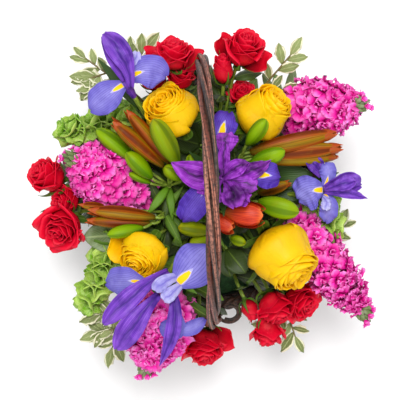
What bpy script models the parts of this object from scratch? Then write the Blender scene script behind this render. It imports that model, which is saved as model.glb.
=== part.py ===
"""Flower basket arrangement: cut flowers in wet foam, in a lined willow basket with a twisted rod handle.

Units are metres and +Z is up. The origin is the middle of the basket's flat underside.
+Y runs along the handle. Places and sizes below are millimetres, which MM turns into metres.
"""

import math

import bmesh
import bpy
from mathutils import Vector
from mathutils.geometry import interpolate_bezier

MM = 0.001
GAP = 0.4  # between pieces that touch

# Basket
BASE_RADIUS, BASE_THICK, BASE_BEVEL = 109, 10, 2
WALL_FOOT_RADIUS, WALL_TOP_RADIUS = 108, 137
WALL_THICK, WALL_TOP = 7, 117
RIM_RADIUS, RIM_THICK, RIM_HEIGHT = 137.5, 7.4, 125
WALL_SIDES = 36

# Handle: willow rods that lie side by side down the wall and twist together over the top
ROD_RADIUS, ROD_COUNT, ROD_STEPS = 3.3, 4, 34
BUNDLE_RADIUS, FLAT_SPACING = 5.1, 7.4
HANDLE_TURNS = 1.25
FLAT_SHARE, ROUND_SHARE = 0.09, 0.17  # of the handle's length, from each end: flat until one, twisted from the other
HANDLE_LINE = [
    (4, -124, 55), (4, -133.7, 90), (4.5, -149.2, 121), (5, -153, 160), (6, -149, 215),
    (7, -128, 290), (6.5, -85, 355), (5.5, -35, 388), (3.5, 20, 395), (0, 78, 370),
    (-4, 126, 315), (-6, 153, 250), (-6.5, 158.5, 195), (-6.5, 149.2, 121), (-6.5, 133.7, 90),
    (-6.5, 124, 55),
]

# Lashings round the rods below the rim, as (distance aside, reach at the low edge, reach at the high edge)
LASHING_LOW, LASHING_HIGH, LASHING_THICK = 98, 112, 2
LASHING_LINE = [
    (-23, 130.8, 135), (-18.5, 136.5, 142.5), (-14.5, 142.4, 149.9), (14.5, 142.4, 149.9),
    (18.5, 136.5, 142.5), (23, 130.8, 135),
]
CURL_CENTRE, CURL_RADIUS, CURL_TWIG, CURL_TURNS, CURL_PITCH = (34, -144, 143), 9, 1.5, 1.6, 5

# Inside the basket
LINER_THICK, LINER_TOP = 1.4, 112
FOAM_GAP, FOAM_SHOULDER, FOAM_TOP, FOAM_TOP_RADIUS = 1.2, 110, 140, 76
FOAM_CORNER_RADIUS, FOAM_CORNER = 84, 136
STEM_DEPTH = 28
HOLE_GAP, HOLE_LENGTH = 0.8, 26  # past the stem's foot, so that a low stem's hole runs out of the foam's side
STEM_BEND = 0.25

# Where a head's stem leaves the foam: a high head's nearer the middle, a low head's lower on the foam's side
FOOT_REACH, FOOT_LEAST, FOOT_HEAD_HEIGHT, FOOT_SLOPE = 74, 28, 165, 0.52
SIDE_REACH_SLOPE, SIDE_DROP_SLOPE = 0.6, 0.7
# Turns of some feet about the middle, in degrees, so that no two stems meet
FOOT_TURNS = {
    "yellow_rose_upper_left": 10, "iris_top_left": 18, "red_rose_top_left": 6, "red_rose_top_right": -3,
    "red_rose_beside_handle": 6, "red_rose_far_left": 2, "red_rose_left_bud": 5, "red_rose_low_left": 3,
    "red_rose_front": -7, "red_bud_by_rim": -3, "red_bud_hanging": 2, "red_rose_front_right": 2,
    "red_rose_right_deep": 3, "stock_left": -2, "stock_front_left": -3, "stock_upper_right": -10,
    "stock_lower_right": -10, "lily_upper_left": -3, "lily_left": 3, "bells_lower_left": 8,
    "broad_leaf_left": 3, "broad_leaf_front": -10, "pittosporum_lower_right": -6,
}

COLOURS = {
    "willow": (0.13, 0.065, 0.045), "liner": (0.02, 0.03, 0.02), "foam": (0.05, 0.16, 0.05),
    "yellow_petal": (0.95, 0.62, 0.01), "red_petal": (0.55, 0.0, 0.02),
    "iris_petal": (0.2, 0.08, 0.5), "pink_petal": (0.8, 0.06, 0.42),
    "lily_bud": (0.45, 0.3, 0.03), "bell_green": (0.18, 0.4, 0.04),
    "variegated_leaf": (0.3, 0.38, 0.18), "dark_leaf": (0.03, 0.09, 0.02),
}

# Roses: bloom centre, the way it faces, bloom radius and height
ROSES = {
    "yellow_rose_upper_left": ((-44, 94, 243), (-0.3, 0.5, 1), 28, 46),
    "yellow_rose_upper_right": ((63, 94, 233), (0.7, 0.45, 0.75), 28, 50),
    "yellow_rose_lower_left": ((-79, -66, 240), (-0.15, -0.3, 1), 27, 44),
    "yellow_rose_lower_right": ((85, -70, 231), (0.45, -0.5, 0.8), 30, 50),
    "red_rose_top_left": ((-38, 164, 236), (0.3, 0.75, 0.6), 19, 32),
    "red_rose_behind_handle": ((-30, 136, 216), (0.1, 0.6, 0.8), 13, 26),
    "red_rose_under_iris": ((-62, 138, 198), (-0.3, 0.7, 0.6), 15, 26),
    "red_rose_top_right": ((42, 168, 238), (0.35, 0.6, 0.75), 20, 34),
    "red_rose_beside_handle": ((20, 142, 232), (-0.05, 0.55, 0.85), 12, 28),
    "red_rose_low_right": ((42, 118, 194), (0.05, 0.55, 0.8), 13, 24),
    "red_rose_far_left": ((-180, 10, 200), (-0.85, 0.1, 0.6), 17, 32),
    "red_rose_left_bud": ((-163, -8, 180), (-0.9, -0.2, 0.5), 13, 28),
    "red_rose_low_left": ((-160, -42, 204), (-0.6, -0.55, 0.75), 20, 34),
    "red_rose_front": ((-8, -184, 172), (0.3, -0.85, 0.45), 22, 34),
    "red_bud_by_rim": ((50, -136, 172), (0.6, -0.6, 0.35), 9, 24),
    "red_rose_front_right": ((78, -130, 184), (0.7, -0.35, 0.6), 14, 28),
    "red_rose_right_deep": ((108, -124, 172), (0.75, -0.5, 0.5), 15, 26),
    "red_bud_hanging": ((72, -163, 164), (0.1, -0.95, 0.2), 13, 26),
}
ROSE_PROFILE = [(0, 0.14), (0.1, 0.5), (0.35, 0.92), (0.65, 1), (0.88, 0.84), (1, 0.42)]
ROSE_STEM = 2.4

# Irises: where the petals meet, the way the flower faces, and the turn of the first fall, in degrees
IRISES = {
    "iris_top_left": ((-95, 128, 272), (-0.3, 0.4, 0.85), 15),
    "iris_middle": ((22, 16, 262), (0, 0, 1), 92),
    "iris_right": ((128, 2, 226), (0.8, 0.1, 0.6), 180),
    "iris_lower_left": ((-45, -101, 265), (-0.35, -0.65, 0.75), 75),
}
IRIS_STEM = 3.0
# Along a petal: reach from the axis, height above the meeting point, half width
FALL_LINE = [(2, -2, 4), (12, 7, 4), (22, 10, 10), (34, 8, 17), (44, 0, 16), (50, -9, 7)]
STANDARD_LINE = [(3, 1, 3), (8, 14, 5), (12, 28, 9), (15, 42, 9), (17, 54, 4)]
PETAL_THICK = 1.8

# Stock spikes: first and last point of the flowering length and its fullest radius
STOCKS = {
    "stock_left": ((-90, 10, 192), (-154, 46, 226), 33),
    "stock_upper_right": ((102, 97, 186), (190, 104, 214), 31),
    "stock_lower_right": ((110, -40, 178), (190, -142, 190), 24),
    "stock_front_left": ((-46, -128, 202), (-70, -212, 196), 26),
}
STOCK_PROFILE = [(0, 0.3), (0.08, 0.85), (0.2, 1), (0.45, 0.95), (0.7, 0.72), (0.88, 0.45), (1, 0.2)]
STOCK_STEM = 3.0

# Lily stems: the head of the main stem, then each bud's base, tip and radius
LILIES = {
    "lily_upper_left": ((-44, 11, 214), [
        ((-50, 36, 240), (-99, 77, 262), 8), ((-38, 44, 258), (-59, 82, 290), 11),
        ((-64, 24, 236), (-88, 47, 254), 10), ((-66, 10, 228), (-84, 18, 236), 5),
        ((-31, 18, 240), (-43, 32, 258), 8), ((-78, 42, 222), (-121, 68, 232), 10),
    ]),
    "lily_upper_right": ((36, 32, 212), [
        ((54, 46, 224), (141, 52, 230), 12), ((50, 56, 250), (65, 76, 284), 9),
        ((52, 33, 248), (82, 42, 262), 9),
    ]),
    "lily_left": ((-50, -20, 208), [
        ((-60, -27, 232), (-124, -21, 242), 8), ((-72, -38, 220), (-130, -33, 222), 7),
        ((-66, -32, 252), (-102, -36, 266), 7),
    ]),
    "lily_right": ((38, -16, 208), [
        ((36, -24, 232), (62, -26, 250), 10), ((24, -36, 228), (43, -40, 238), 6),
        ((64, -13, 222), (100, -19, 236), 11),
    ]),
    "alstroemeria_middle": ((0, -30, 212), [
        ((-6, -41, 238), (-31, -41, 252), 9), ((14, -52, 212), (36, -54, 226), 6),
        ((-14, 22, 226), (-13, 34, 240), 7),
    ]),
}
LILY_STEM, PEDICEL = 3.0, 1.7
BUD_PROFILE = [(0, 0.35), (0.18, 0.8), (0.5, 1), (0.8, 0.72), (1, 0.2)]

# Bells of Ireland: first and last point of the belled length and the bells' radius
BELLS = {
    "bells_upper_left": ((-108, 82, 186), (-162, 80, 192), 15),
    "bells_lower_left": ((-120, -74, 184), (-140, -116, 178), 15),
    "bells_right": ((134, -12, 170), (160, -44, 174), 12),
}
BELL_COUNT, BELL_STEM = 4, 2.4

# Pittosporum sprigs: first and last point of the leafy length
SPRIGS = {
    "pittosporum_top_left": ((-82, 122, 196), (-137, 158, 208)),
    "pittosporum_top_right": ((62, 124, 188), (92, 160, 202)),
    "pittosporum_lower_left": ((-90, -140, 178), (-108, -182, 160)),
    "pittosporum_right": ((128, -66, 150), (158, -46, 156)),
    "pittosporum_lower_right": ((92, -140, 148), (108, -172, 146)),
}
SPRIG_STEM, SPRIG_LEAVES = 1.4, 6
SPRIG_LEAF = [(1, 0, 1), (9, 2, 5), (18, 4, 5.5), (26, 4, 1.5)]
LEAF_THICK = 1.2

# Broad leaves: where the blade starts, where it ends, and its half width
LEAVES = {
    "aspidistra_leaf_right": ((62, 24, 188), (118, 22, 212), 14),
    "broad_leaf_top": ((-8, 66, 184), (-30, 66, 214), 14),
    "broad_leaf_left": ((-92, -52, 182), (-128, -52, 200), 14),
    "broad_leaf_front": ((26, -70, 190), (44, -86, 204), 14),
}
LEAF_STEM = 1.5


def clear_scene():
    for obj in list(bpy.data.objects):
        bpy.data.objects.remove(obj, do_unlink=True)


def make_material(name):
    material = bpy.data.materials.new(name)
    material.use_nodes = True
    shader = material.node_tree.nodes["Principled BSDF"]
    shader.inputs["Base Color"].default_value = (*COLOURS[name], 1)
    shader.inputs["Roughness"].default_value = 0.55
    shader.inputs["Metallic"].default_value = 0
    return material


def place(point):
    """A point in millimetres as a vector in metres."""
    return Vector(point) * MM


def add_mesh(name, mesh, material):
    mesh.materials.clear()
    mesh.materials.append(bpy.data.materials[material])
    mesh.shade_smooth()
    mesh.set_sharp_from_angle(angle=math.radians(40))
    obj = bpy.data.objects.new(name, mesh)
    bpy.context.scene.collection.objects.link(obj)
    return obj


def from_bmesh(name, bm, material):
    bmesh.ops.recalc_face_normals(bm, faces=bm.faces)
    mesh = bpy.data.meshes.new(name)
    bm.to_mesh(mesh)
    bm.free()
    return add_mesh(name, mesh, material)


def hide_as_helper(obj):
    obj.hide_render = True
    obj.display_type = "WIRE"


def boolean(obj, operation, other):
    modifier = obj.modifiers.new(f"{operation.lower()}_{other.name}", "BOOLEAN")
    modifier.operation = operation
    modifier.solver = "EXACT"
    modifier.object = other
    hide_as_helper(other)


def swept(name, points, radii, material, resolution=2):
    """A round body along points, with a radius in millimetres at each, closed at both ends."""
    curve = bpy.data.curves.new(name, "CURVE")
    curve.dimensions = "3D"
    curve.bevel_depth = MM
    curve.bevel_resolution = resolution
    curve.use_fill_caps = True
    spline = curve.splines.new("POLY")
    spline.points.add(len(points) - 1)
    for point, at, radius in zip(spline.points, points, radii):
        point.co = (*at, 1)
        point.radius = radius
    guide = bpy.data.objects.new(name, curve)
    bpy.context.scene.collection.objects.link(guide)
    evaluated = guide.evaluated_get(bpy.context.evaluated_depsgraph_get())
    bm = bmesh.new()
    bm.from_mesh(evaluated.to_mesh())
    evaluated.to_mesh_clear()
    bpy.data.objects.remove(guide)
    bmesh.ops.remove_doubles(bm, verts=bm.verts, dist=0.01 * MM)
    return from_bmesh(name, bm, material)


def turned(name, profile, sides, material):
    """A ring turned about Z from a closed profile of (radius, height) in millimetres."""
    bm = bmesh.new()
    verts = [bm.verts.new((radius * MM, 0, height * MM)) for radius, height in profile]
    edges = [bm.edges.new((a, b)) for a, b in zip(verts, verts[1:] + verts[:1])]
    bmesh.ops.spin(
        bm, geom=edges, axis=(0, 0, 1), cent=(0, 0, 0), steps=sides, angle=2 * math.pi, use_merge=True
    )
    bmesh.ops.remove_doubles(bm, verts=bm.verts, dist=0.01 * MM)
    return from_bmesh(name, bm, material)


def block_of(name, profile, sides, material):
    """A solid turned about Z from a profile of (radius, height) that starts and ends on the axis."""
    bm = bmesh.new()
    verts = [bm.verts.new((radius * MM, 0, height * MM)) for radius, height in profile]
    edges = [bm.edges.new(pair) for pair in zip(verts, verts[1:])]
    bmesh.ops.spin(
        bm, geom=edges, axis=(0, 0, 1), cent=(0, 0, 0), steps=sides, angle=2 * math.pi, use_merge=True
    )
    bmesh.ops.remove_doubles(bm, verts=bm.verts, dist=0.01 * MM)
    return from_bmesh(name, bm, material)


def wall_radius(height):
    """The wall's outer radius at a height."""
    share = (height - BASE_THICK) / (WALL_TOP - BASE_THICK)
    return WALL_FOOT_RADIUS + (WALL_TOP_RADIUS - WALL_FOOT_RADIUS) * share


def liner_radius(height):
    """The liner's outer radius at a height."""
    return wall_radius(height) - WALL_THICK - GAP


def make_basket():
    edge = BASE_RADIUS - BASE_BEVEL
    block_of("basket_base", [
        (0, 0), (edge, 0), (BASE_RADIUS, BASE_BEVEL), (BASE_RADIUS, BASE_THICK - BASE_BEVEL),
        (edge, BASE_THICK), (0, BASE_THICK),
    ], WALL_SIDES, "willow")
    low, high = BASE_THICK + GAP, WALL_TOP
    turned("basket_wall", [
        (wall_radius(low), low), (wall_radius(high), high),
        (wall_radius(high) - WALL_THICK, high), (wall_radius(low) - WALL_THICK, low),
    ], WALL_SIDES, "willow")
    turned("basket_rim", [
        (RIM_RADIUS + RIM_THICK * math.cos(a), RIM_HEIGHT + RIM_THICK * math.sin(a))
        for a in (math.radians(45 * k) for k in range(8))
    ], WALL_SIDES, "willow")


def make_liner():
    floor = BASE_THICK + GAP
    block_of("liner", [
        (0, floor), (liner_radius(floor), floor), (liner_radius(LINER_TOP), LINER_TOP),
        (liner_radius(LINER_TOP) - LINER_THICK, LINER_TOP),
        (liner_radius(floor) - LINER_THICK, floor + LINER_THICK), (0, floor + LINER_THICK),
    ], WALL_SIDES, "liner")


def make_foam():
    """A block cut to fill the liner, with a shoulder that slopes up to a flat top above the rim."""
    inside = LINER_THICK + FOAM_GAP
    floor = BASE_THICK + GAP + inside
    return block_of("foam", [
        (0, floor), (liner_radius(floor) - inside, floor), (liner_radius(FOAM_SHOULDER) - inside, FOAM_SHOULDER),
        (FOAM_CORNER_RADIUS, FOAM_CORNER), (FOAM_TOP_RADIUS, FOAM_TOP), (0, FOAM_TOP),
    ], WALL_SIDES, "foam")


def smooth_line(controls, count):
    """Points evenly spaced along a smooth curve through the controls."""
    line = []
    padded = [controls[0] * 2 - controls[1], *controls, controls[-1] * 2 - controls[-2]]
    for before, start, end, after in zip(padded, padded[1:], padded[2:], padded[3:]):
        line += interpolate_bezier(start, start + (end - before) / 6, end - (after - start) / 6, end, 9)[:-1]
    line.append(controls[-1])
    lengths = [0]
    for a, b in zip(line, line[1:]):
        lengths.append(lengths[-1] + (b - a).length)
    even, at = [], 0
    for k in range(count):
        goal = lengths[-1] * k / (count - 1)
        while at < len(line) - 2 and lengths[at + 1] < goal:
            at += 1
        share = (goal - lengths[at]) / (lengths[at + 1] - lengths[at])
        even.append(line[at].lerp(line[at + 1], share))
    return even


def ease(value):
    value = min(max(value, 0), 1)
    return value * value * (3 - 2 * value)


def make_handle():
    line = smooth_line([place(point) for point in HANDLE_LINE], ROD_STEPS)
    last = len(line) - 1
    middle = (FLAT_SHARE + ROUND_SHARE) / 2
    start_turn = math.radians(22.5)

    def phase(rod, share):
        return start_turn + math.tau * (rod / ROD_COUNT + HANDLE_TURNS * share)

    def slot(rod, share):
        ranks = sorted(range(ROD_COUNT), key=lambda other: math.cos(phase(other, share)))
        return (ranks.index(rod) - (ROD_COUNT - 1) / 2) * FLAT_SPACING

    for rod in range(ROD_COUNT):
        points = []
        for k, centre in enumerate(line):
            share = k / last
            from_end = min(share, 1 - share)
            turn_share = min(max(share, ROUND_SHARE), 1 - ROUND_SHARE)
            angle = phase(rod, turn_share)
            end_share = ROUND_SHARE if share < 0.5 else 1 - ROUND_SHARE
            flatten = ease((middle - from_end) / (middle - FLAT_SHARE))
            across_flat = slot(rod, end_share)
            across_round = BUNDLE_RADIUS * math.cos(angle)
            widen = 1 - ease((from_end - middle) / (ROUND_SHARE - middle))
            across = across_round + (across_flat - across_round) * widen
            out = BUNDLE_RADIUS * math.sin(angle) * (1 - flatten)
            tangent = (line[min(k + 1, last)] - line[max(k - 1, 0)]).normalized()
            outward = Vector((1, 0, 0)).cross(tangent).normalized()
            points.append(centre + Vector((across * MM, 0, 0)) + outward * out * MM)
        swept(f"handle_rod_{rod + 1}", points, [ROD_RADIUS] * len(points), "willow", resolution=1)


def make_lashing(name, side, middle):
    """A flat band round the outside of the rods, on the basket's +Y or -Y side, ending at the wall."""
    bm = bmesh.new()
    rows = []
    for aside, low, high in LASHING_LINE:
        rows.append([
            bm.verts.new(place((middle + aside, side * low, LASHING_LOW))),
            bm.verts.new(place((middle + aside, side * high, LASHING_HIGH))),
        ])
    for row, following in zip(rows, rows[1:]):
        bm.faces.new((row[0], row[1], following[1], following[0]))
    bm.normal_update()
    bmesh.ops.solidify(bm, geom=bm.faces[:], thickness=-side * LASHING_THICK * MM)
    from_bmesh(name, bm, "willow")


def make_curl():
    """The loose end of a rod, curled up on the rim."""
    points = []
    steps = round(CURL_TURNS * 12)
    for k in range(steps + 1):
        angle = math.tau * CURL_TURNS * k / steps
        x, y, z = CURL_CENTRE
        lift = CURL_PITCH * angle / math.tau
        points.append(place((x + CURL_RADIUS * math.cos(angle), y + CURL_RADIUS * math.sin(angle), z + lift)))
    swept("twig_curl", points, [CURL_TWIG] * len(points), "willow", resolution=1)


def foot_of(name, head):
    """Where a head's stem leaves the foam, by the head's height and its direction from the middle."""
    above = head[2] - FOOT_HEAD_HEIGHT
    slope = FOOT_SLOPE if above > 0 else SIDE_REACH_SLOPE
    reach = max(FOOT_REACH - slope * above, FOOT_LEAST)
    reach = min(reach, math.hypot(head[0], head[1]))
    turn = math.atan2(head[1], head[0]) + math.radians(FOOT_TURNS.get(name, 0))
    drop = SIDE_DROP_SLOPE * max(-above, 0)
    return place((reach * math.cos(turn), reach * math.sin(turn), FOAM_TOP - drop))


def stem_line(foot, head, facing, bend=STEM_BEND, steps=5):
    """The stem's middle line, from inside the foam to the head, where it points the way the head faces."""
    rise = (head - foot).normalized()
    reach = (head - foot).length
    curve = interpolate_bezier(foot, foot + rise * reach * 0.4, head - facing * reach * bend, head, steps)
    return [foot - rise * STEM_DEPTH * MM, *curve]


def cut_stem_hole(foam, name, line, radius):
    """The hole that a stem leaves in the foam."""
    low, foot = line[0], line[1]
    along = (foot - low).normalized()
    extra = along * MM
    hole = swept(
        f"hole_{name}", [low - extra, foot + along * HOLE_LENGTH * MM], [radius + HOLE_GAP] * 2, "foam", resolution=1
    )
    boolean(foam, "DIFFERENCE", hole)


def flower_on_stem(
    foam, name, foot, base, facing, height, profile, radius, stem, material, resolution=2, bend=STEM_BEND
):
    """A stem and its head as one turned body: the profile gives the head's radius along its height."""
    line = stem_line(foot, base, facing, bend)
    points, radii = list(line), [stem] * len(line)
    for share, width in profile:
        points.append(base + facing * (height * share * MM + 0.5 * MM))
        radii.append(max(width * radius, stem * 0.6))
    obj = swept(name, points, radii, material, resolution)
    cut_stem_hole(foam, name, line, stem)
    return obj


def make_roses(foam):
    for name, (centre, faces, radius, height) in ROSES.items():
        facing = Vector(faces).normalized()
        base = place(centre) - facing * height / 2 * MM
        petal = "yellow_petal" if name.startswith("yellow") else "red_petal"
        flower_on_stem(
            foam, name, foot_of(name, centre), base, facing, height, ROSE_PROFILE, radius, ROSE_STEM, petal
        )


def blade(name, origin, along, up, line, thick, material):
    """A petal or leaf of even thickness. line holds (reach, height, half width), in millimetres."""
    across = up.cross(along).normalized()
    bm = bmesh.new()
    rows = []
    for reach, height, half in line:
        middle = origin + (along * reach + up * height) * MM
        rows.append([bm.verts.new(middle + (across * half * side + up * half * 0.12 * side * side) * MM)
                     for side in (-1, 0, 1)])
    for row, following in zip(rows, rows[1:]):
        for k in range(2):
            bm.faces.new((row[k], row[k + 1], following[k + 1], following[k]))
    bm.normal_update()
    bmesh.ops.solidify(bm, geom=bm.faces[:], thickness=thick * MM)
    return from_bmesh(name, bm, material)


def frame_of(facing):
    """Two directions square to the way a flower faces."""
    first = (Vector((1, 0, 0)) - facing * facing.x).normalized()
    return first, facing.cross(first)


def make_irises(foam):
    for name, (centre, faces, turn) in IRISES.items():
        facing = Vector(faces).normalized()
        middle = place(centre)
        profile = [(0, 0.6), (0.4, 1), (0.8, 1), (1, 0.5)]
        base = middle - facing * 16 * MM
        flower = flower_on_stem(
            foam, name, foot_of(name, centre), base, facing, 26, profile, 5.5, IRIS_STEM, "iris_petal",
            bend=0.1,
        )
        first, second = frame_of(facing)
        for k in range(6):
            angle = math.radians(turn + 60 * k)
            along = first * math.cos(angle) + second * math.sin(angle)
            line = STANDARD_LINE if k % 2 else FALL_LINE
            petal = blade(f"{name}_petal_{k}", middle, along, facing, line, PETAL_THICK, "iris_petal")
            boolean(flower, "UNION", petal)


def make_stocks(foam):
    for name, (low, high, radius) in STOCKS.items():
        base, tip = place(low), place(high)
        facing = (tip - base).normalized()
        length = (tip - base).length / MM
        flower_on_stem(
            foam, name, foot_of(name, low), base, facing, length, STOCK_PROFILE, radius, STOCK_STEM,
            "pink_petal", resolution=3,
        )


def make_lilies(foam):
    for name, (top, buds) in LILIES.items():
        head = place(top)
        foot = foot_of(name, top)
        line = stem_line(foot, head, (head - foot).normalized(), steps=3)
        stem = swept(name, line, [LILY_STEM] * len(line), "lily_bud")
        cut_stem_hole(foam, name, line, LILY_STEM)
        for k, (low, high, radius) in enumerate(buds):
            base, tip = place(low), place(high)
            along = tip - base
            start = head - (head - foot).normalized() * (4 + 2 * k) * MM
            pedicel = interpolate_bezier(start, start.lerp(base, 0.6), base - along * 0.25, base, 4)
            points = [*pedicel, *(base + along * share + along.normalized() * 0.4 * MM for share, _ in BUD_PROFILE)]
            radii = [PEDICEL] * 4 + [radius * width for _, width in BUD_PROFILE]
            bud = swept(f"{name}_bud_{k}", points, radii, "lily_bud", resolution=1)
            boolean(stem, "UNION", bud)


def make_bells(foam):
    profile = []
    for k in range(BELL_COUNT):
        start = k / BELL_COUNT
        size = 1 - 0.12 * k
        profile += [(start, 0.2), (start + 0.8 / BELL_COUNT, size), (start + 0.9 / BELL_COUNT, size * 0.94)]
    profile.append((1, 0.2))
    for name, (low, high, radius) in BELLS.items():
        base, tip = place(low), place(high)
        facing = (tip - base).normalized()
        flower_on_stem(
            foam, name, foot_of(name, low), base, facing, (tip - base).length / MM, profile, radius, BELL_STEM,
            "bell_green",
        )


def make_sprigs(foam):
    for name, (low, high) in SPRIGS.items():
        base, tip = place(low), place(high)
        facing = (tip - base).normalized()
        length = (tip - base).length / MM
        sprig = flower_on_stem(
            foam, name, foot_of(name, low), base, facing, length, [(0.5, 1), (1, 0.7)], SPRIG_STEM, SPRIG_STEM,
            "variegated_leaf", resolution=1,
        )
        first, second = frame_of(facing)
        for k in range(SPRIG_LEAVES):
            angle = math.radians(137.5 * k)
            outward = first * math.cos(angle) + second * math.sin(angle)
            origin = base + facing * length * (0.15 + 0.8 * k / (SPRIG_LEAVES - 1)) * MM
            along = (outward * 0.75 + facing * 0.65).normalized()
            up = (facing - along * facing.dot(along)).normalized()
            leaf = blade(f"{name}_leaf_{k}", origin, along, up, SPRIG_LEAF, LEAF_THICK, "variegated_leaf")
            boolean(sprig, "UNION", leaf)


def make_leaves(foam):
    for name, (low, high, half) in LEAVES.items():
        base, tip = place(low), place(high)
        along = (tip - base).normalized()
        length = (tip - base).length / MM
        leaf = flower_on_stem(
            foam, name, foot_of(name, low), base, along, length * 0.4, [(0.5, 1), (1, 0.7)], LEAF_STEM, LEAF_STEM,
            "dark_leaf", resolution=1,
        )
        side = along.cross(Vector((0, 0, 1))).normalized()
        up = side.cross(along)
        line = [(0, 0, 2), (length * 0.3, 3, half * 0.85), (length * 0.6, 4, half), (length, -2, 2)]
        boolean(leaf, "UNION", blade(f"{name}_blade", base, along, up, line, LEAF_THICK, "dark_leaf"))


def main():
    clear_scene()
    for name in COLOURS:
        make_material(name)
    make_basket()
    make_liner()
    make_handle()
    make_lashing("handle_lashing_front", -1, HANDLE_LINE[3][0])
    make_lashing("handle_lashing_back", 1, HANDLE_LINE[-4][0])
    make_curl()
    foam = make_foam()
    make_roses(foam)
    make_irises(foam)
    make_stocks(foam)
    make_lilies(foam)
    make_bells(foam)
    make_sprigs(foam)
    make_leaves(foam)


main()
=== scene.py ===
import math

import bpy
import numpy as np
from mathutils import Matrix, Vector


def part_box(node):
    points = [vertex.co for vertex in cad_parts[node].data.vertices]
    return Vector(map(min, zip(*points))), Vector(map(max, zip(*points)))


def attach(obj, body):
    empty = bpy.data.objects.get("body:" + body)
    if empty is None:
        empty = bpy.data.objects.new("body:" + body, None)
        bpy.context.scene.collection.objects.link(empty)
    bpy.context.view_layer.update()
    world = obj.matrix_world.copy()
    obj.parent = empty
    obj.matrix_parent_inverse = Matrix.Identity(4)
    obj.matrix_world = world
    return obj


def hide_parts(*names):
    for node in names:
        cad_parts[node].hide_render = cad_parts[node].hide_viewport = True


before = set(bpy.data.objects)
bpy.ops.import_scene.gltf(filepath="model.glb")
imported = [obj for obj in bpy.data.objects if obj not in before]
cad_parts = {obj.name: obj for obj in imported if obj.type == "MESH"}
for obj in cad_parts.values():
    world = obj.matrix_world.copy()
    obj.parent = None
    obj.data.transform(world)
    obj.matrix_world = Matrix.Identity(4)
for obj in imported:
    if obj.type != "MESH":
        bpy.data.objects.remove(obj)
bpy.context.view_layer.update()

mm = 0.001
golden = math.radians(137.5)
basketMiddle = np.array(sum(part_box("basket_base"), start=Vector((0, 0, 0)))) / 2
basketMiddle[2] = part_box("basket_base")[0].z  # the middle of the flat underside
skyward = np.array([0, 0, 1.0])


# shapes, as whole arrays of points

def spot(point):
    # millimetres from the middle of the basket's underside, as metres in the frame
    return basketMiddle + np.asarray(point, float) * mm


def unit(v):
    v = np.asarray(v, float)
    return v / np.maximum(np.linalg.norm(v, axis=-1, keepdims=True), 1e-12)


def fade(value, low=0.0, high=1.0):
    # s(x) = x^2 (3 - 2x), with x running from 0 at low to 1 at high
    x = np.clip((np.asarray(value, float) - low) / (high - low), 0, 1)
    return x * x * (3 - 2 * x)


def bezier(controls, steps):
    # p(t) = sum over k of comb(n, k) t^k (1 - t)^(n - k) P_k
    controls = np.asarray(controls, float)
    t = np.linspace(0, 1, steps)[:, None]
    n = len(controls) - 1
    return sum(math.comb(n, k) * t**k * (1 - t) ** (n - k) * controls[k] for k in range(n + 1))


def outline(table, v):
    # cubic through the table's (v, width) pairs, each point's slope taken from its neighbours
    xs, ys = np.array(table, float).T
    slopes = np.gradient(ys, xs)
    k = np.clip(np.searchsorted(xs, v, side="right") - 1, 0, len(xs) - 2)
    h = xs[k + 1] - xs[k]
    t = (v - xs[k]) / h
    start, end = ys[k] * (1 + 2 * t) * (1 - t) ** 2, ys[k + 1] * t * t * (3 - 2 * t)
    return start + end + h * (slopes[k] * t * (1 - t) ** 2 - slopes[k + 1] * t * t * (1 - t))


def smoothLine(points, count):
    # a cubic through the points, then count points at equal distances along it
    points = np.asarray(points, float)
    at = np.linspace(0, 1, len(points))
    fine = np.linspace(0, 1, 40 * len(points))
    line = np.stack([outline(list(zip(at, points[:, k])), fine) for k in range(3)], axis=1)
    length = np.concatenate([[0], np.cumsum(np.linalg.norm(np.diff(line, axis=0), axis=1))])
    even = np.linspace(0, length[-1], count)
    return np.stack([np.interp(even, length, line[:, k]) for k in range(3)], axis=1)


def around(axes, a):
    # the direction at angle a about the last of three axes
    return axes[0] * math.cos(a) + axes[1] * math.sin(a)


def aim(facing, spin=0.0):
    # three rows: two directions square to facing, turned by spin, then facing itself
    facing = unit(facing)
    first = unit(np.cross([0, 1, 0] if abs(facing[1]) < 0.9 else [1, 0, 0], facing))
    second = np.cross(facing, first)
    cos, sin = math.cos(spin), math.sin(spin)
    return np.array([first * cos + second * sin, second * cos - first * sin, facing])


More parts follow.
